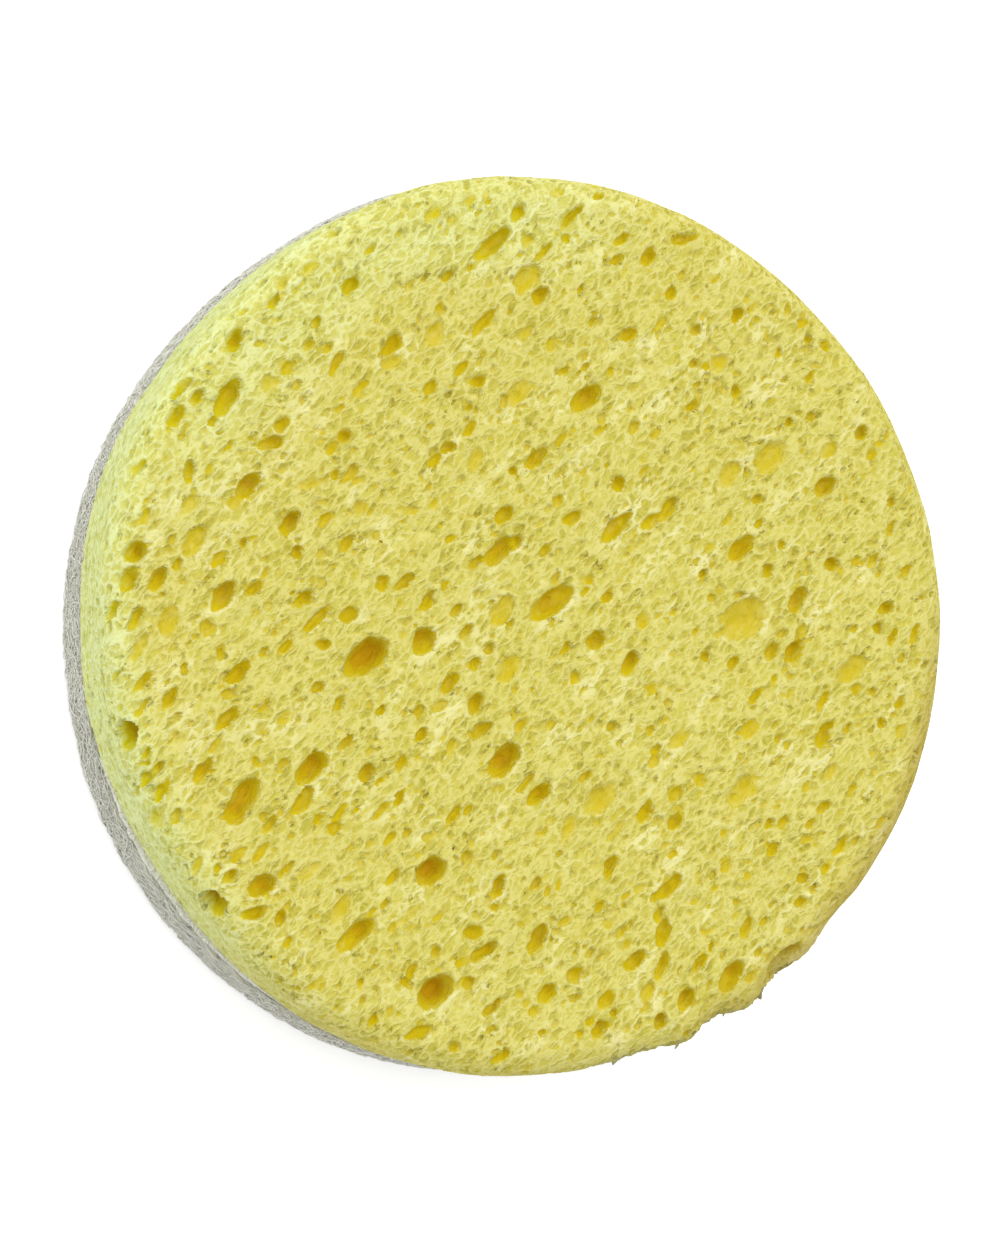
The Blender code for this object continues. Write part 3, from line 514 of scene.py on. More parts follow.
def thin_out(mesh, triangle_count):
    """Collapses edges where the surface is plain until that many triangles are left."""
    holder = add_object("thinning", mesh)
    thinner = holder.modifiers.new("thinner", "DECIMATE")
    corners = np.zeros(len(mesh.polygons), np.int32)
    mesh.polygons.foreach_get("loop_total", corners)
    thinner.ratio = triangle_count / float((corners - 2).sum())
    bpy.context.view_layer.update()
    depsgraph = bpy.context.evaluated_depsgraph_get()
    thinned = bpy.data.meshes.new_from_object(holder.evaluated_get(depsgraph))
    thinned.name = mesh.name
    bpy.data.objects.remove(holder)
    bpy.data.meshes.remove(mesh)
    return thinned


# Cellulose sponge

SPONGE_CELLS = 480
SPONGE_RINGS = 52
SPONGE_WALL_SHARE = 0.93
SPONGE_TRIANGLES = 196000
SPONGE_RADIUS = 50.0 * MM
MEDIUM_PORES = 300
SMALL_PORES = 5200
FACE_SHARE = 0.70
GRAIN_TURN = 47.0
GRAIN_SPREAD = 13.0
PORE_GROWTH = 1.12
PORE_DIP = 0.45
BOWL_LIP = 0.2
# Pale lip outside each pore's mouth: a slightly raised web with a painted highlight, broadest on one side
LIP_REACH = 1.45
LIP_MEAN = 0.6
LIP_LEAN = 0.5
LIP_HEIGHT = 0.10 * MM
DEPTH_UNIT = 3.0 * MM
SIGHT_STEPS = 120

# Scattered pores, as shares of their length: how far they are sunk, their widths and their depth
SCATTER_SINK = 0.06
SCATTER_WIDTHS = (0.20, 0.32)
SCATTER_DEPTH = 0.28

# Noise layers: spacing and height in millimetres, and channel
PORE_WARP = ((1.6, 0.24, 10), (0.7, 0.14, 20))
SKIN_SWELL = ((7.0, 0.10, 30), (2.2, 0.06, 31))

# Painted light and shade on the rim: cool light at the left, with a haze above it, and shade at the
# lower right. Each has its middle in degrees, the cosines of the angles from it between which it
# fades in, and the distances past the end of the upper rounding, in millimetres, for the same
LIME_LIGHT_SIDE = (168.0, 0.20, 0.85, -8.0, 1.5)
LIME_LIGHT_HAZE_SIDE = (122.0, 0.60, 0.95, -16.0, -7.0)
LIME_LIGHT_HAZE_SHARE = 0.35
MUSTARD_SHADE_SIDE = (-33.0, 0.74, 0.97, -6.5, -2.5)

# Torn stretch: its middle and half widths, and the leans of the skin from level, in degrees, where
# the tear and its olive line of painted shade begin and are full
TORN_MIDDLE = math.radians(295)
TORN_HALF = (math.cos(math.radians(22)), math.cos(math.radians(12)))
TORN_LEANS = (25, 60)
TORN_SHADE_LEANS = (50, 68)
TORN_SHADE_WIDTH = 4 * MM
TORN_FOLDS = ((0.9, 0.45, 32),)
TORN_GRAIN = ((0.4, 0.12, 33),)
TORN_CUT = 0.12 * MM
TORN_SHADE_SHARE = 0.5

# Look of the foam: shares of its coarse and fine cells, how far their webs bend and stand proud,
# the size of its streaks, and how strongly the painted light and shade of the rim lie over it
COARSE_CELLS = 0.72
FINE_CELLS = 0.40
WEB_BEND = 1.1 * MM
WEB_RELIEF = 0.32 * MM
STREAK_SIZE = (3 * MM, 1 * MM, 1 * MM)
LIME_LIGHT_WASH = 0.35
MUSTARD_SHADE_SHARE = 0.55


def sponge_edge(angle):
    """The sponge's outline, with its own marks and its torn stretch."""
    return edge_radius(angle, SPONGE_RADIUS, OUTLINE_MARKS + SPONGE_MARKS + TORN_MARKS)


def view_axes(tilt, side):
    """Unit vectors to the picture's right, up the picture, and back to the viewer."""
    level = math.sin(tilt)
    back = np.array([level * math.cos(side), level * math.sin(side), math.cos(tilt)])
    right = np.cross([0.0, 1.0, 0.0], back)
    right /= np.linalg.norm(right)
    return right, np.cross(back, right), back


def seen_places(rows, rim_rounding):
    """Carries places in the picture along their lines of sight to the sponge's skin.

    Each line is cut at heights from the face down, and the first cut that lies inside the
    sponge's outline at its height is the place.
    """
    right, up, back = view_axes(VIEW_TILT, VIEW_SIDE)
    eye = back * VIEW_DISTANCE
    across = (rows[:, 0] * SEEN_STRETCH[0] + SEEN_SHIFT[0]) * MM
    along = (rows[:, 1] * SEEN_STRETCH[1] + SEEN_SHIFT[1]) * MM
    ray = across[:, None] * right + along[:, None] * up - eye
    drop = np.linspace(0, SPONGE_HIGH.z - SPONGE_LOW.z, SIGHT_STEPS)
    share = (SPONGE_HIGH.z - drop[None, :] - eye[2]) / ray[:, 2:3]
    cuts = eye + ray[:, None, :] * share[:, :, None]
    edge = sponge_edge(np.arctan2(cuts[..., 1], cuts[..., 0]))
    rise = rim_rounding - np.minimum(drop, rim_rounding)
    reach = edge - rim_rounding + np.sqrt(rim_rounding ** 2 - rise ** 2)
    inside = np.hypot(cuts[..., 0], cuts[..., 1]) <= reach
    inside[:, -1] = True
    return cuts[np.arange(len(rows)), inside.argmax(axis=1)]


def skin_normals(points, rim_rounding):
    """Outward normals of the sponge's skin at points of its face, rim or wall.

    On the rim the normal points away from the rounding's own middle line.
    """
    radius = np.hypot(points[:, 0], points[:, 1])
    edge = sponge_edge(np.arctan2(points[:, 1], points[:, 0]))
    outward = np.maximum(radius - edge + rim_rounding, 0) / radius
    upward = np.maximum(points[:, 2] - SPONGE_HIGH.z + rim_rounding, 0)
    normals = np.column_stack([points[:, 0] * outward, points[:, 1] * outward, upward])
    return unit(normals)


def pore_axes(turn, normals):
    """Unit axes of pores: along the grain, across it, and out of the skin."""
    turn = np.radians(turn)
    grain = np.column_stack([np.cos(turn), np.sin(turn), np.zeros_like(turn)])
    long_axis = unit(grain - normals * np.einsum("ij,ij->i", grain, normals)[:, None])
    return np.stack([long_axis, np.cross(normals, long_axis), normals], axis=1)


def marked_pores(rows, depth_share, tint, settings):
    """Middles, axes, half sizes and tints of the pores that stand out."""
    rows = np.array(rows)
    middles = seen_places(rows, settings.rim_rounding)
    turn = rows[:, 4] if rows.shape[1] > 4 else np.full(len(rows), GRAIN_TURN)
    long, wide = rows[:, 2], rows[:, 3]
    halves = np.column_stack([long * PORE_GROWTH / 2, wide / 2, wide * depth_share]) * MM
    axes = pore_axes(turn, skin_normals(middles, settings.rim_rounding))
    return middles, axes, halves, np.full(len(rows), tint)


def scattered_pores(chance, count, typical, spread, tints, envelope, marks_of):
    """Pores of mixed sizes drawn out along the grain, at random places of the face and the wall."""
    on_face = chance.random(count) < FACE_SHARE
    angle = chance.uniform(-np.pi, np.pi, count)
    edge = sponge_edge(angle)
    rim, wall, _ = marks_of(edge)
    face_along = rim * np.sqrt(chance.random(count))
    wall_along = rim + (wall - rim) * chance.random(count)
    points, normals = envelope(np.where(on_face, face_along, wall_along), angle, edge)
    size = typical * np.exp(chance.normal(0, spread, count))
    middles = points - normals * size[:, None] * SCATTER_SINK
    turn = GRAIN_TURN + chance.normal(0, GRAIN_SPREAD, count)
    wide = size * chance.uniform(*SCATTER_WIDTHS, count)
    halves = np.column_stack([size * 0.5, wide, size * SCATTER_DEPTH])
    return middles, pore_axes(turn, normals), halves, chance.uniform(*tints, count)


def sink_into_pores(points, normals, pores):
    """How far each point sinks, and its tint.

    A point inside a pore's ellipsoid sinks along its inward normal to the ellipsoid's far wall,
    less near the mouth, so that the pore is a bowl, and more towards one end, so that it dips
    along the grain. The deepest pore that holds a point counts.
    The tint is the pore's own, faded in from its mouth's edge, over a third of a deep pore's
    depth and over the whole of a shallow hollow's, and it sets the painted shade in the pore. It is
    below 0 on the pale lip just outside, a slightly raised web with a painted highlight, which is
    broadest on the lower right of the grain.
    """
    depth = np.zeros(len(points))
    tint = np.zeros(len(points))
    lip = np.zeros(len(points))
    order = np.argsort(points[:, 0])
    sorted_x = points[order, 0]
    for middle, axes, half, strength in zip(*pores):
        reach = half.max() * LIP_REACH
        start, stop = np.searchsorted(sorted_x, (middle[0] - reach, middle[0] + reach))
        window = order[start:stop]
        window = window[np.abs(points[window, 1] - middle[1]) < reach]
        offset = (points[window] - middle) @ axes.T / half
        away = np.einsum("ij,ij->i", offset, offset)
        outside = smooth_step(np.sqrt(away), LIP_REACH, 1.0) * strength
        outside *= LIP_MEAN - LIP_LEAN * offset[:, 1] / np.sqrt(away + 1e-9)
        lip[window] = np.maximum(lip[window], outside)
        window, offset = window[away < 1], offset[away < 1]
        ray = -normals[window] @ axes.T / half
        ray_square = np.einsum("ij,ij->i", ray, ray)
        along = np.einsum("ij,ij->i", offset, ray)
        rest = 1 - np.einsum("ij,ij->i", offset, offset)
        sink = (np.sqrt(along ** 2 + ray_square * rest) - along) / ray_square
        share = np.clip(sink / half[2], 0, 1)
        bowl = (BOWL_LIP + (1 - BOWL_LIP) * share) * (1 + PORE_DIP * offset[:, 0])
        depth[window] = np.maximum(depth[window], sink * bowl)
        fade = np.clip(4 * half[2] / half[0], 1, 3)
        tint[window] = np.maximum(tint[window], strength * np.clip(fade * share, 0, 1))
    return depth, tint - np.where(tint > 0, 0, lip)


def rim_light_and_shade(angle, past_rim, middle, outer, inner, start, full):
    """Painted light and shade on one side of the rim: smooth steps of the direction's cosine and of the way
    out.
    """
    side = smooth_step(np.cos(angle - math.radians(middle)), outer, inner)
    return side * smooth_step(past_rim, start * MM, full * MM)


def sponge_surface(settings):
    """Points, faces and painted shares of the sponge.

    The rounded disc's points sink into marked, middling and small pores. Noise bends the pores'
    outlines, and broad swells lift the skin a little.
    """
    low, high = SPONGE_LOW.z, SPONGE_HIGH.z
    roundings = (settings.rim_rounding, settings.back_rounding)
    chance = np.random.default_rng(21)

    def marks_of(edge):
        return profile_marks(edge, low, high, *roundings)

    def envelope(along, angle, edge):
        return rounded_disc(along, angle, edge, low, high, *roundings)

    way, angle, quads, fan = disc_grid(SPONGE_CELLS, SPONGE_RINGS)
    edge = sponge_edge(angle)
    along = along_profile(way, marks_of(edge), SPONGE_WALL_SHARE)
    points, normals = envelope(along, angle, edge)

    # Marked pores have a depth as a share of their width, and a tint, the strength of their painted shade
    sets = [
        marked_pores(rows, depth_share, tint, settings)
        for rows, depth_share, tint in (
            (DEEP_PORES, 0.80, 1.0),
            (MIDDLING_PORES, 0.70, 0.9),
            (SHALLOW_HOLLOWS, 0.28, 0.75),
        )
    ]

    # Scattered pores have a number, a typical length, its spread, and a range of tints, the strengths of
    # their painted shade
    sets += [
        scattered_pores(chance, *row, envelope, marks_of)
        for row in (
            (MEDIUM_PORES, settings.medium_length, 0.28, (0.55, 1.0)),
            (SMALL_PORES, settings.small_length, 0.20, (0.1, 0.8)),
        )
    ]
    pores = [np.concatenate(parts) for parts in zip(*sets)]
    bent = add_layers(points, noise_vector, points, PORE_WARP)
    depth, tint = sink_into_pores(bent, normals, pores)

    past_rim = along - marks_of(edge)[0]
    # Painted cool light along the left rim, with a haze above it, and painted shade along the lower right
    # rim
    left_light = rim_light_and_shade(angle, past_rim, *LIME_LIGHT_SIDE)
    left_light = np.maximum(left_light, LIME_LIGHT_HAZE_SHARE * rim_light_and_shade(angle, past_rim, *LIME_LIGHT_HAZE_SIDE))
    rim_shade = rim_light_and_shade(angle, past_rim, *MUSTARD_SHADE_SIDE)
    lean = np.degrees(np.arccos(np.clip(normals[:, 2], -1, 1)))
    torn = smooth_step(np.cos(angle - TORN_MIDDLE), *TORN_HALF)
    torn *= smooth_step(lean, *TORN_LEANS)
    # Painted shade on the steep underside of the torn edge, just below its rim
    torn_shade = torn * smooth_step(lean, *TORN_SHADE_LEANS)
    torn_shade *= 1 - smooth_step(past_rim, 0, TORN_SHADE_WIDTH)

    # The side that lies on the fibre stays flat
    shown = np.where(normals[:, 2] < -0.5, 0.0, 1.0)
    swell = add_layers(0.0, smooth_noise, points, SKIN_SWELL)
    ragged = np.abs(add_layers(0.0, smooth_noise, points, TORN_FOLDS))
    ragged = add_layers(ragged, smooth_noise, points, TORN_GRAIN)
    swell = swell - torn * (ragged - TORN_CUT) - np.minimum(tint, 0) * LIP_HEIGHT
    points = points + normals * (shown * (swell - depth))[:, None]
    shares = {
        "pore_depth": depth * shown / DEPTH_UNIT,
        "pore_shade_and_lip_highlight": tint * shown,
        "rim_light_and_shade": left_light - rim_shade,
        "torn_shade": torn_shade,
    }
    return points, quads, fan, shares


def fill_inputs(tree, node, inputs):
    """Sets or links a node's inputs, by name or in their order.

    A node given as an input stands for its first output, and a colour is made opaque.
    """
    shown = [socket for socket in node.inputs if socket.enabled]
    for key, value in inputs.items() if isinstance(inputs, dict) else enumerate(inputs):
        socket = shown[key] if isinstance(key, int) else node.inputs[key]
        if isinstance(value, bpy.types.Node):
            value = next(output for output in value.outputs if output.enabled)
        if isinstance(value, bpy.types.NodeSocket):
            tree.links.new(value, socket)
        else:
            socket.default_value = (*value[:3], 1.0) if socket.type == "RGBA" else value


def add_node(tree, kind, inputs=(), **settings):
    """Adds a node, sets its properties and fills its inputs."""
    node = tree.nodes.new("ShaderNode" + kind)
    for name, value in settings.items():
        setattr(node, name, value)
    fill_inputs(tree, node, inputs)
    return node


def new_material(name):
    """A new material, its nodes and its shader."""
    material = bpy.data.materials.new(name)
    material.use_nodes = True
    return material, material.node_tree, material.node_tree.nodes["Principled BSDF"]


def foam_cells(tree, place, sizes):
    """Openness of drawn-out foam cells: 0 on their webs, up to 1 inside, less in half-shut cells."""
    mapped = add_node(tree, "Mapping", {"Vector": place, "Scale": sizes}, vector_type="TEXTURE")
    wall = add_node(tree, "TexVoronoi", {"Vector": mapped, "Scale": 1.0}, feature="DISTANCE_TO_EDGE")
    cell = add_node(tree, "TexVoronoi", {"Vector": mapped, "Scale": 1.0})
    chance = add_node(tree, "SeparateColor", (cell.outputs["Color"],))
    inside = add_node(tree, "MapRange", (wall, 0.0, 0.32), interpolation_type="SMOOTHSTEP")
    share = add_node(tree, "Math", (chance, 0.75, 0.25), operation="MULTIPLY_ADD")
    return add_node(tree, "Math", (inside, share), operation="MULTIPLY")


def cellulose_material(settings):
    """Regenerated cellulose sponge, foamed and cut: matt, pale webs over translucent cells, golden and
    darker with painted shade.
    """
    material, tree, shader = new_material("cellulose_foam")
    place = add_node(tree, "TexCoord").outputs["Object"]
    depth, tint, cast, torn = (
        add_node(tree, "Attribute", attribute_name=name).outputs["Fac"]
        for name in ("pore_depth", "pore_shade_and_lip_highlight", "rim_light_and_shade", "torn_shade")
    )

    # The fine cells lie along the grain, as the pores do, and noise bends their webs
    turn = {"Vector": place, "Angle": -math.radians(GRAIN_TURN)}
    turned = add_node(tree, "VectorRotate", turn, rotation_type="Z_AXIS")
    wobble = add_node(tree, "TexNoise", {"Vector": place, "Scale": 0.7 / MM, "Detail": 3.0})
    bend = (wobble.outputs["Color"], (WEB_BEND,) * 3, turned)
    bent = add_node(tree, "VectorMath", bend, operation="MULTIPLY_ADD")
    long, short = settings.grain_long, settings.grain_short
    coarse = foam_cells(tree, bent, (long, short, short))
    fine = foam_cells(tree, bent, (long * 0.5, short * 0.5, short * 0.5))
    coarse = add_node(tree, "Math", (coarse, COARSE_CELLS), operation="MULTIPLY")
    cells = add_node(tree, "Math", (fine, FINE_CELLS, coarse), operation="MULTIPLY_ADD")

    # Streaks where the foam was drawn out, and cream patches
    drawn = add_node(tree, "Mapping", {"Vector": bent, "Scale": STREAK_SIZE}, vector_type="TEXTURE")
    streaks = add_node(tree, "TexNoise", {"Vector": drawn, "Scale": 1.0, "Detail": 2.0})
    patches = add_node(tree, "TexNoise", {"Vector": drawn, "Scale": 0.45, "Detail": 2.0})
    light = add_node(tree, "Math", (streaks, 0.5, patches), operation="MULTIPLY_ADD")
    # Below 0, on a pore's lip, the tint adds a painted highlight; inside a pore it dims the cream patches
    light = add_node(tree, "Math", (tint, -0.14, light), operation="MULTIPLY_ADD")
    pale = add_node(tree, "MapRange", (light, 0.78, 1.05), interpolation_type="SMOOTHSTEP")
    web = add_node(tree, "Mix", (pale, settings.web, settings.bleached), data_type="RGBA")
    # Painted cool light makes the webs paler and greener along the left rim
    green = add_node(tree, "Math", (cast, 1.0), operation="MULTIPLY", use_clamp=True)
    web = add_node(tree, "Mix", (green, web, settings.lime_light), data_type="RGBA")

    # Painted shade: darker and warmer the further a cell is open, golden in the pores, and browner at their
    # bottoms
    openness = add_node(tree, "Math", (pale, -0.25, cells), operation="MULTIPLY_ADD")
    shallow = add_node(tree, "MapRange", (openness, 0.0, 0.4), interpolation_type="SMOOTHSTEP")
    open_cell_shade = add_node(tree, "MapRange", (openness, 0.35, 0.95), interpolation_type="SMOOTHSTEP")
    mottled = add_node(tree, "Math", (streaks, 1.5, 0.25), operation="MULTIPLY_ADD")
    pore_shade = add_node(tree, "Math", (tint, mottled), operation="MULTIPLY", use_clamp=True)
    sunk = add_node(tree, "MapRange", (depth, 0.30, 0.90), interpolation_type="SMOOTHSTEP")
    base = web
    for share, shade in (
        (shallow, settings.cell),
        (open_cell_shade, settings.hollow),
        (pore_shade, settings.deep),
        (sunk, settings.deepest),
    ):
        base = add_node(tree, "Mix", (share, base, shade), data_type="RGBA")

    # Painted light and shade: cool light turns the hue greener at the left, and brown and olive shade
    # lie over the lower right rim and its torn edge
    hue = {"Hue": 0.5 + settings.lime_light_shift, "Fac": green, "Color": base}
    base = add_node(tree, "HueSaturation", hue)
    washed = add_node(tree, "Math", (pore_shade, -LIME_LIGHT_WASH, LIME_LIGHT_WASH), operation="MULTIPLY_ADD")
    washed = add_node(tree, "Math", (washed, green), operation="MULTIPLY")
    # Painted shade, with a little brown of the sponge's own, on the lower right rim
    mustard_tone_and_shade = add_node(tree, "Math", (cast, -MUSTARD_SHADE_SHARE), operation="MULTIPLY", use_clamp=True)
    # Painted olive shade along the torn edge
    torn = add_node(tree, "Math", (torn, TORN_SHADE_SHARE), operation="MULTIPLY")
    for share, shade in ((washed, settings.lime_light), (mustard_tone_and_shade, settings.mustard_tone_and_shade), (torn, settings.torn)):
        base = add_node(tree, "Mix", (share, base, shade), data_type="RGBA")

    # The webs stand proud, less so inside the pores
    flat = add_node(tree, "Math", (tint, -0.6, 1.0), operation="MULTIPLY_ADD", use_clamp=True)
    relief = add_node(tree, "Math", (cells, flat), operation="MULTIPLY")
    height = {"Strength": 0.65, "Distance": WEB_RELIEF, "Height": relief}
    bump = add_node(tree, "Bump", height, invert=True)
    finish = {"Roughness": 0.85, "IOR": 1.47, "Specular IOR Level": 0.25}
    fill_inputs(tree, shader, {"Base Color": base, "Normal": bump, **finish})
    return material


class PAD_OT_sponge(bpy.types.Operator):
    """Make the cellulose sponge: a rounded disc with its pores sunk in"""

    bl_idname = "pad.sponge"
    bl_label = "Cellulose sponge"

    def execute(self, context):
        settings = context.scene.pad_sponge
        mesh = thin_out(make_mesh("sponge", *sponge_surface(settings)), SPONGE_TRIANGLES)
        material = cellulose_material(settings)
        piece = add_piece("sponge", mesh, material, "yellow_cellulose", "cellulose_sponge")
        return {"FINISHED"}


# Torn shreds: degrees, height as a share of the sponge's, length and width in millimetres
SHREDS = (
    (303.2, 0.74, 0.9, 1.1),
    (302.0, 0.70, 0.6, 0.9),
    (281.5, 0.66, 0.8, 1.0),
    (282.4, 0.62, 0.6, 0.9),
    (280.4, 0.62, 0.5, 0.7),
    (290.2, 0.70, 0.6, 0.9),
    (291.6, 0.60, 0.5, 0.7),
    (297.5, 0.74, 0.4, 0.6),
    (286.0, 0.66, 0.4, 0.6),
    (307.0, 0.70, 0.4, 0.6),
    (293.0, 0.45, 0.7, 0.8),
    (299.0, 0.40, 0.8, 0.9),
    (307.5, 0.42, 0.7, 0.8),
)
SHRED_STEPS = 12
SHRED_SIDES = 8
SHRED_ROOT = 0.6 * MM
SHRED_WAVE = 0.12 * MM
SHRED_DROOPS = (0.05, 0.45)
SHRED_FLATNESS = 0.3


def shred_surface(chance):
    """Points and faces of the torn shreds.

    Each is a flat tube along a path that leaves the wall, droops by the square of the way and
    swings sideways by a sine; its width swells and then tapers to a point.
    """
    rows = np.array(SHREDS)
    share = np.linspace(0, 1, SHRED_STEPS)
    turn = np.arange(SHRED_SIDES) * 2 * np.pi / SHRED_SIDES
    upward = np.array([0.0, 0.0, 1.0])
    ringed = (SHRED_STEPS - 1) * SHRED_SIDES
    parts, quads, fans = [], [], []
    for number, (degrees, height, reach, width) in enumerate(rows):
        angle = math.radians(degrees)
        out = np.array([math.cos(angle), math.sin(angle), 0.0])
        side = np.array([-math.sin(angle), math.cos(angle), 0.0])
        way = share * (reach * MM + SHRED_ROOT)
        swing = chance.uniform(-0.5, 0.5) * way * share
        swing = swing + SHRED_WAVE * np.sin(share * chance.uniform(3, 6))
        droop = chance.uniform(*SHRED_DROOPS) * way * share
        start = out * (sponge_edge(angle) - SHRED_ROOT)
        start[2] = SPONGE_LOW.z + (SPONGE_HIGH.z - SPONGE_LOW.z) * height
        path = start + way[:, None] * out + swing[:, None] * side - droop[:, None] * upward
        half = width * MM / 2 * np.sqrt(np.clip(1 - share ** 1.6, 0, 1))
        half = half * (1 + 0.25 * np.sin(9 * share + number))
        twist = chance.uniform(-0.8, 0.8) + share * chance.uniform(-1.2, 1.2)
        flat = np.cos(twist)[:, None] * side + np.sin(twist)[:, None] * upward
        thick = np.cross(out, flat)
        ring = flat[:, None] * (np.cos(turn) * half[:, None])[:, :, None]
        ring = ring + thick[:, None] * (np.sin(turn) * half[:, None] * SHRED_FLATNESS)[:, :, None]
        points = (path[:, None] + ring)[:-1].reshape(-1, 3)
        first = number * (ringed + 2)
        grid = first + np.arange(ringed).reshape(SHRED_STEPS - 1, SHRED_SIDES)
        after = np.roll(grid, -1, axis=1)
        root, tip = first + ringed, first + ringed + 1
        parts += [points, path[:1], path[-1:]]
        quads.append(np.stack([grid[:-1], after[:-1], after[1:], grid[1:]], axis=-1).reshape(-1, 4))
        fans.append(np.stack([after[0], grid[0], np.full(SHRED_SIDES, root)], axis=-1))
        fans.append(np.stack([grid[-1], after[-1], np.full(SHRED_SIDES, tip)], axis=-1))
    return np.concatenate(parts), np.concatenate(quads), np.concatenate(fans)


def shred_material(settings):
    """Thin torn skin of the same cellulose: a grey-green film, because little pigment lies in it."""
    material, tree, shader = new_material("torn_cellulose_skin")
    place = add_node(tree, "TexCoord").outputs["Object"]
    mottle = add_node(tree, "TexNoise", {"Vector": place, "Scale": 1.5 / MM, "Detail": 3.0})
    base = add_node(tree, "Mix", (mottle, settings.film, settings.torn), data_type="RGBA")
    bump = add_node(tree, "Bump", {"Strength": 0.5, "Distance": 0.1 * MM, "Height": mottle})
    fill_inputs(tree, shader, {"Base Color": base, "Normal": bump, "Roughness": 0.6})
    return material


class PAD_OT_shreds(bpy.types.Operator):
    """Make the torn shreds that hang off the sponge's lower right edge"""

    bl_idname = "pad.shreds"
    bl_label = "Torn shreds"

    def execute(self, context):
        mesh = make_mesh("torn_shreds", *shred_surface(np.random.default_rng(8)))
        add_piece("torn_shreds", mesh, shred_material(context.scene.pad_sponge), "yellow_cellulose")
        return {"FINISHED"}


# Scouring layer

CORE_CELLS = 150
CORE_RINGS = 24
CORE_WALL_SHARE = 0.80
WALL_FIBRES = 4800
FACE_FIBRES = 2800
FIBRE_STEPS = 12
FIBRE_RADIUS = 50.6 * MM
WALL_TAPER = 0.65 * MM
TAPER_START = 1.5 * MM

# Core: rounding next to the sponge, height above the floor as a share of the mat, noise layers as
# the sponge's are, and its pits, of which a share of the cells has none
CORE_BACK_ROUNDING = 0.3 * MM
CORE_LIFT = 0.6
CORE_WARP = ((1.5, 0.4, 50),)
CORE_LUMPS = ((1.0, 0.12, 70),)
LUMP_TOP = 0.05 * MM
PIT_SPACING = 1.1 * MM
PIT_REACH = 0.75
PIT_DEPTH = 0.45 * MM
PITLESS_SHARE = 0.35

# Ranges of the wall's and the underside's fibres: lengths and thicknesses as shares of the usual
# ones, and numbers of waves in and out of the mat
WALL_LENGTHS = (0.6, 1.5)
WALL_THICKNESSES = (0.7, 1.25)
WALL_WAVES = (0.8, 2.0)
FACE_LENGTHS = (1.0, 2.4)
FACE_THICKNESSES = (0.8, 1.4)
FACE_WAVES = (1.0, 3.0)

# How far the wall's fibres lie out in the mat and weave, as shares of its thickness
WALL_PLACES = (-0.2, 0.75)
WALL_WEAVE = 0.45
WALL_TOP_GAP = 0.25 * MM

# Underside's fibres: how far from the edge they start and stay, in roundings of the rim, and their
# weave as a share of the mat
FACE_START = 2.2
FACE_LIMIT = 2.4
FACE_WEAVE = 0.8


def fibre_edge(angle):
    """The scouring layer's outline, with its own marks."""
    return edge_radius(angle, FIBRE_RADIUS, OUTLINE_MARKS + FIBRE_MARKS)


def taper(height):
    """How far the layer's wall draws in towards the sponge above it: a smooth step of the height."""
    return smooth_step(height, FIBRE_LOW.z + TAPER_START, FIBRE_HIGH.z) * WALL_TAPER


def core_surface(settings):
    """Points and faces of the fibre layer's core: a rounded disc, upside down, with pitted lumps."""
    low, high = FIBRE_LOW.z + settings.mat * CORE_LIFT, FIBRE_HIGH.z
    profile = (low, high, settings.rim_rounding, CORE_BACK_ROUNDING)
    way, angle, quads, fan = disc_grid(CORE_CELLS, CORE_RINGS)
    edge = fibre_edge(angle) - settings.mat
    along = along_profile(way, profile_marks(edge, *profile), CORE_WALL_SHARE)
    points, normals = rounded_disc(along, angle, edge, *profile)
    flip = np.array([1.0, 1.0, -1.0])
    points = points * flip + [0, 0, low + high]
    normals = normals * flip
    bent = add_layers(points, noise_vector, points, CORE_WARP)
    nearest, owner = cell_pattern(bent / PIT_SPACING, 60)
    pit = np.clip(1 - nearest / PIT_REACH, 0, 1) ** 0.7 * (owner > PITLESS_SHARE) * PIT_DEPTH
    lump = np.minimum(add_layers(0.0, smooth_noise, points, CORE_LUMPS), LUMP_TOP)
    shown = np.where(normals[:, 2] > 0.5, 0.0, 1.0)
    points = points + normals * (shown * (lump - pit))[:, None]
    points[:, :2] *= 1 - taper(points[:, 2:]) / FIBRE_RADIUS
    return points, quads[:, ::-1], fan[:, ::-1]


def tubes(paths, outward, radius):
    """Three-sided tubes along many paths at once.

    At each point of a path a triangle stands square to the path: its corners lie at the radius
    along the sideways and outward directions, a third of a turn apart.
    """
    count, steps, _ = paths.shape
    ahead = unit(np.gradient(paths, axis=1))
    side = unit(np.cross(ahead, outward))
    rise = np.cross(side, ahead)
    turn = np.arange(3)[:, None] * 2 * np.pi / 3
    ring = side[:, :, None] * np.cos(turn) + rise[:, :, None] * np.sin(turn)
    points = paths[:, :, None] + ring * radius[:, None, None, None]
    number = np.arange(count * steps * 3).reshape(count, steps, 3)
    after = np.roll(number, -1, axis=2)
    quads = np.stack([number[:, :-1], after[:, :-1], after[:, 1:], number[:, 1:]], axis=-1)
    caps = np.concatenate([number[:, 0, ::-1], number[:, -1]])
    return points.reshape(-1, 3), quads.reshape(-1, 4), caps


def waves(chance, count, share, turns):
    """Sines along many paths, each with its own number of turns and its own start."""
    turned = share * chance.uniform(*turns, (count, 1)) + chance.random((count, 1))
    return np.sin(2 * np.pi * turned)


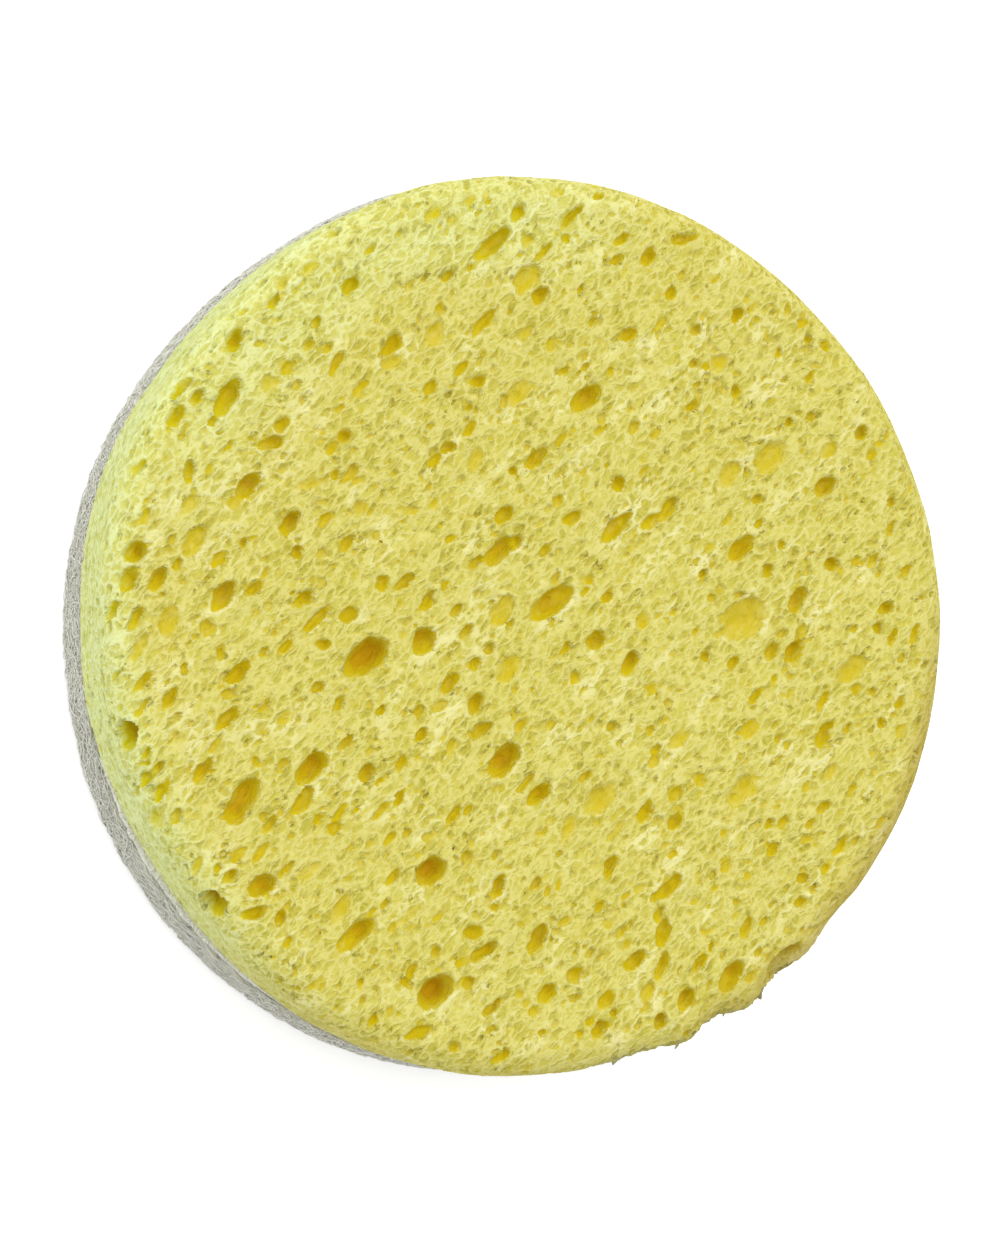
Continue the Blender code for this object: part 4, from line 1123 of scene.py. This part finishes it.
def curly_walk(chance, count, total):
    """Sideways and upward steps of curly paths: a heading that bends steadily and swings."""
    share = np.linspace(0, 1, FIBRE_STEPS)[None, :]
    heading = chance.uniform(-np.pi, np.pi, (count, 1))
    bend = chance.normal(0, 1.6, (count, 1))
    swing = chance.uniform(0.3, 1.1, (count, 1)) * waves(chance, count, share, (0.6, 1.8))
    heading = heading + bend * (share - 0.5) + swing
    step = total[:, None] / (FIBRE_STEPS - 1)
    over = np.cumsum(np.cos(heading) * step, axis=1)
    up = np.cumsum(np.sin(heading) * step, axis=1)
    return over - over.mean(axis=1, keepdims=True), up - up.mean(axis=1, keepdims=True), share


def fold_back(value, low, high):
    """Folds values that leave a range back into it, like light between two mirrors."""
    span = high - low
    return low + span - np.abs((value - low) % (2 * span) - span)


def wall_fibres(settings, chance, count):
    """Paths of fibres on the wall: curly walks wrapped round it, weaving in and out of the mat."""
    total = settings.fibre_length * chance.uniform(*WALL_LENGTHS, count)
    over, up, share = curly_walk(chance, count, total)
    radius = settings.thickness / 2 * chance.uniform(*WALL_THICKNESSES, count)
    angle = chance.uniform(-np.pi, np.pi, (count, 1)) + over / FIBRE_RADIUS
    edge = fibre_edge(angle) - settings.mat
    start = chance.uniform(FIBRE_LOW.z, FIBRE_HIGH.z, (count, 1))
    height = fold_back(start + up, FIBRE_LOW.z + settings.thickness, FIBRE_HIGH.z - WALL_TOP_GAP)
    weave = chance.uniform(*WALL_PLACES, (count, 1))
    weave = weave + WALL_WEAVE * waves(chance, count, share, WALL_WAVES)
    rim = settings.rim_rounding
    into_rim = np.clip(FIBRE_LOW.z + rim - height, 0, rim)
    pull = rim - np.sqrt(rim ** 2 - into_rim ** 2)
    distance = edge - pull - taper(height) + settings.mat * weave
    paths = np.stack([distance * np.cos(angle), distance * np.sin(angle), height], axis=-1)
    outward = np.stack([np.cos(angle), np.sin(angle), np.zeros_like(angle)], axis=-1)
    return paths, outward, radius


def face_fibres(settings, chance, count):
    """Paths of fibres on the underside: curly walks laid flat in the lowest part of the mat."""
    total = settings.fibre_length * chance.uniform(*FACE_LENGTHS, count)
    over, up, share = curly_walk(chance, count, total)
    radius = settings.thickness / 2 * chance.uniform(*FACE_THICKNESSES, count)
    start = FIBRE_RADIUS - settings.rim_rounding * FACE_START
    distance = start * np.sqrt(chance.random((count, 1)))
    angle = chance.uniform(-np.pi, np.pi, (count, 1))
    x, y = distance * np.cos(angle) + over, distance * np.sin(angle) + up
    across = np.hypot(x, y)
    limit = FIBRE_RADIUS - settings.rim_rounding * FACE_LIMIT
    held = np.minimum(across, limit) / np.maximum(across, 1e-9)
    weave = 0.5 + 0.5 * waves(chance, count, share, FACE_WAVES)
    height = FIBRE_LOW.z + radius[:, None] + settings.mat * FACE_WEAVE * weave
    paths = np.stack([x * held, y * held, height], axis=-1)
    outward = np.broadcast_to(np.array([0.0, 0.0, -1.0]), paths.shape)
    return paths, outward, radius


def fibre_material(settings):
    """Polyester fibre, crimped, carded and bonded into a web: satin and pale, greyed at random, by each
    fibre's tone and a mottle, towards the painted shade of the gaps.
    """
    material, tree, shader = new_material("bonded_polyester_fibre")
    tone = add_node(tree, "Attribute", attribute_name="tone").outputs["Fac"]
    place = add_node(tree, "TexCoord").outputs["Object"]
    mottle = add_node(tree, "TexNoise", {"Vector": place, "Scale": 0.35 / MM, "Detail": 3.0})
    share = add_node(tree, "Math", (tone, 0.5), operation="MULTIPLY")
    share = add_node(tree, "Math", (mottle, 0.5, share), operation="MULTIPLY_ADD", use_clamp=True)
    base = add_node(tree, "Mix", (share, settings.gap, settings.fibre), data_type="RGBA")
    fill_inputs(tree, shader, {"Base Color": base, "Roughness": 0.55, "IOR": 1.57})
    return material


def core_material(settings):
    """The same web seen deep between its fibres: matt and grey with painted shade, with crossing strands in
    relief.
    """
    material, tree, shader = new_material("bonded_fibre_core")
    place = add_node(tree, "TexCoord").outputs["Object"]
    wobble = add_node(tree, "TexNoise", {"Vector": place, "Scale": 0.6 / MM, "Detail": 2.0})
    bend = (wobble.outputs["Color"], (1.4 * MM,) * 3, place)
    bent = add_node(tree, "VectorMath", bend, operation="MULTIPLY_ADD")
    web = add_node(tree, "TexVoronoi", {"Vector": bent, "Scale": 1.1 / MM}, feature="DISTANCE_TO_EDGE")
    strand = add_node(tree, "MapRange", (web, 0.22, 0.02), interpolation_type="SMOOTHSTEP")
    base = add_node(tree, "Mix", (strand, settings.gap, settings.fibre), data_type="RGBA")
    bump = add_node(tree, "Bump", {"Strength": 0.9, "Distance": 0.15 * MM, "Height": strand})
    fill_inputs(tree, shader, {"Base Color": base, "Normal": bump, "Roughness": 0.75})
    return material


class PAD_OT_fibre_core(bpy.types.Operator):
    """Make the core of the scouring layer: a pitted, lumpy disc"""

    bl_idname = "pad.fibre_core"
    bl_label = "Fibre core"

    def execute(self, context):
        settings = context.scene.pad_fibre
        mesh = make_mesh("fibre_core", *core_surface(settings))
        material = core_material(settings)
        piece = add_piece("fibre_core", mesh, material, "pale_scouring_fibre", "scouring_layer")
        return {"FINISHED"}


class PAD_OT_fibre_mat(bpy.types.Operator):
    """Make the mat of curly fibres on the scouring layer's wall and underside"""

    bl_idname = "pad.fibre_mat"
    bl_label = "Fibre mat"

    def execute(self, context):
        settings = context.scene.pad_fibre
        chance = np.random.default_rng(33)
        material = fibre_material(settings)
        half = WALL_FIBRES // 2
        for name, layout, count in (
            ("wall_fibres_a", wall_fibres, half),
            ("wall_fibres_b", wall_fibres, half),
            ("underside_fibres", face_fibres, FACE_FIBRES),
        ):
            paths, outward, radius = layout(settings, chance, count)
            points, quads, caps = tubes(paths, outward, radius)
            tone = np.repeat(chance.random(count), FIBRE_STEPS * 3)
            mesh = make_mesh(name, points, quads, caps, {"tone": tone})
            add_piece(name, mesh, material, "pale_scouring_fibre")
        return {"FINISHED"}


# Stage

FLOOR_SIZE = 3.0
KEY_STRENGTH = 1.22
KEY_FROM = (0.22, 0.28, 0.95)
KEY_ANGLE = math.radians(50)
WORLD_STRENGTH = 0.78
WORLD_LEAN = (-0.28, 0.34, 0.0)
FLOOR_GLOW = 0.39
WHITE = (1.0, 1.0, 1.0)


def looked_at(tree):
    """1 for what the camera sees itself, in a reflection or through glass, and 0 for light's own way."""
    path = add_node(tree, "LightPath")
    camera, glossy, through = (
        path.outputs[f"Is {kind} Ray"] for kind in ("Camera", "Glossy", "Transmission")
    )
    seen = add_node(tree, "Math", (camera, glossy), operation="MAXIMUM")
    return add_node(tree, "Math", (seen, through), operation="MAXIMUM")


def floor_material(settings):
    """Painted board: matt and pale, a little brighter to the camera, with the pad's shadow kept."""
    material, tree, shader = new_material("painted_board")
    fill_inputs(tree, shader, {"Base Color": settings.floor, "Roughness": 0.9})
    glow = add_node(tree, "Math", (looked_at(tree), FLOOR_GLOW), operation="MULTIPLY")
    glow = add_node(tree, "Emission", {"Color": WHITE, "Strength": glow})
    both = add_node(tree, "AddShader", (shader, glow))
    fill_inputs(tree, tree.nodes["Material Output"], {"Surface": both})
    return material


def make_floor(settings):
    """One flat square, wide enough to fill the view."""
    half = FLOOR_SIZE / 2
    corners = np.array([[-half, -half, 0], [half, -half, 0], [half, half, 0], [-half, half, 0]])
    mesh = make_mesh("floor", corners, np.array([[0, 1, 2, 3]]), np.zeros((0, 3), int))
    floor = add_object("floor", mesh)
    floor.data.materials.append(floor_material(settings))


def make_world():
    """White surroundings, brighter at the upper left, and plain white where the camera sees them."""
    world = bpy.data.worlds.new("studio")
    world.use_nodes = True
    tree = world.node_tree
    place = add_node(tree, "TexCoord").outputs["Generated"]
    towards = add_node(tree, "VectorMath", (place, WORLD_LEAN), operation="DOT_PRODUCT")
    light = add_node(tree, "Math", (towards, WORLD_STRENGTH))
    strength = add_node(tree, "Mix", (looked_at(tree), light, 1.0))
    fill_inputs(tree, tree.nodes["Background"], {"Color": WHITE, "Strength": strength})
    bpy.context.scene.world = world


def make_key_light():
    """One wide soft lamp from the upper right."""
    lamp = bpy.data.lights.new("key", "SUN")
    lamp.energy = KEY_STRENGTH
    lamp.angle = KEY_ANGLE
    key = add_object("key", lamp)
    key.rotation_mode = "QUATERNION"
    toward = -Vector(KEY_FROM)
    key.rotation_quaternion = toward.to_track_quat("-Z", "Y")


def make_camera(settings):
    """Camera above the pad, leaning to the left, with +Y up in the picture."""
    lens = bpy.data.cameras.new("camera")
    lens.sensor_width = 36.0
    lens.lens = lens.sensor_width * settings.distance / FRAME_HEIGHT
    camera = add_object("camera", lens)
    right, up, back = (Vector(axis) for axis in view_axes(settings.tilt, settings.side))
    aim = right * AIM[0] + up * AIM[1]
    rotation = Matrix((right, up, back)).transposed()
    camera.matrix_world = Matrix.Translation(aim + back * settings.distance) @ rotation.to_4x4()
    bpy.context.scene.camera = camera


class PAD_OT_stage(bpy.types.Operator):
    """Make the floor, the light and the camera"""

    bl_idname = "pad.stage"
    bl_label = "Stage"

    def execute(self, context):
        settings = context.scene.pad_stage
        make_floor(settings)
        make_world()
        make_key_light()
        make_camera(settings)
        context.scene.view_settings.view_transform = "Standard"
        return {"FINISHED"}


class PAD_PT_sidebar(bpy.types.Panel):
    """Lists the pad's pieces and their settings"""

    bl_idname = "PAD_PT_sidebar"
    bl_label = "Scouring pad"
    bl_space_type = "VIEW_3D"
    bl_region_type = "UI"
    bl_category = "Pad"

    def draw(self, context):
        for settings, operators in (
            (context.scene.pad_sponge, (PAD_OT_sponge, PAD_OT_shreds)),
            (context.scene.pad_fibre, (PAD_OT_fibre_core, PAD_OT_fibre_mat)),
            (context.scene.pad_stage, (PAD_OT_stage,)),
        ):
            box = self.layout.box()
            for key in settings.bl_rna.properties.keys():
                if key not in ("rna_type", "name"):
                    box.prop(settings, key)
            for operator in operators:
                box.operator(operator.bl_idname)


OPERATORS = (PAD_OT_sponge, PAD_OT_shreds, PAD_OT_fibre_core, PAD_OT_fibre_mat, PAD_OT_stage)
SETTINGS = {"pad_sponge": SpongeSettings, "pad_fibre": FibreSettings, "pad_stage": StageSettings}


def register():
    for group in (*SETTINGS.values(), *OPERATORS, PAD_PT_sidebar):
        bpy.utils.register_class(group)
    for key, group in SETTINGS.items():
        setattr(bpy.types.Scene, key, bpy.props.PointerProperty(type=group))


def unregister():
    for key in SETTINGS:
        delattr(bpy.types.Scene, key)
    for group in reversed((*SETTINGS.values(), *OPERATORS, PAD_PT_sidebar)):
        bpy.utils.unregister_class(group)


def main():
    register()
    bpy.ops.pad.sponge()
    bpy.ops.pad.shreds()
    bpy.ops.pad.fibre_core()
    bpy.ops.pad.fibre_mat()
    bpy.ops.pad.stage()


if __name__ == "__main__":
    main()
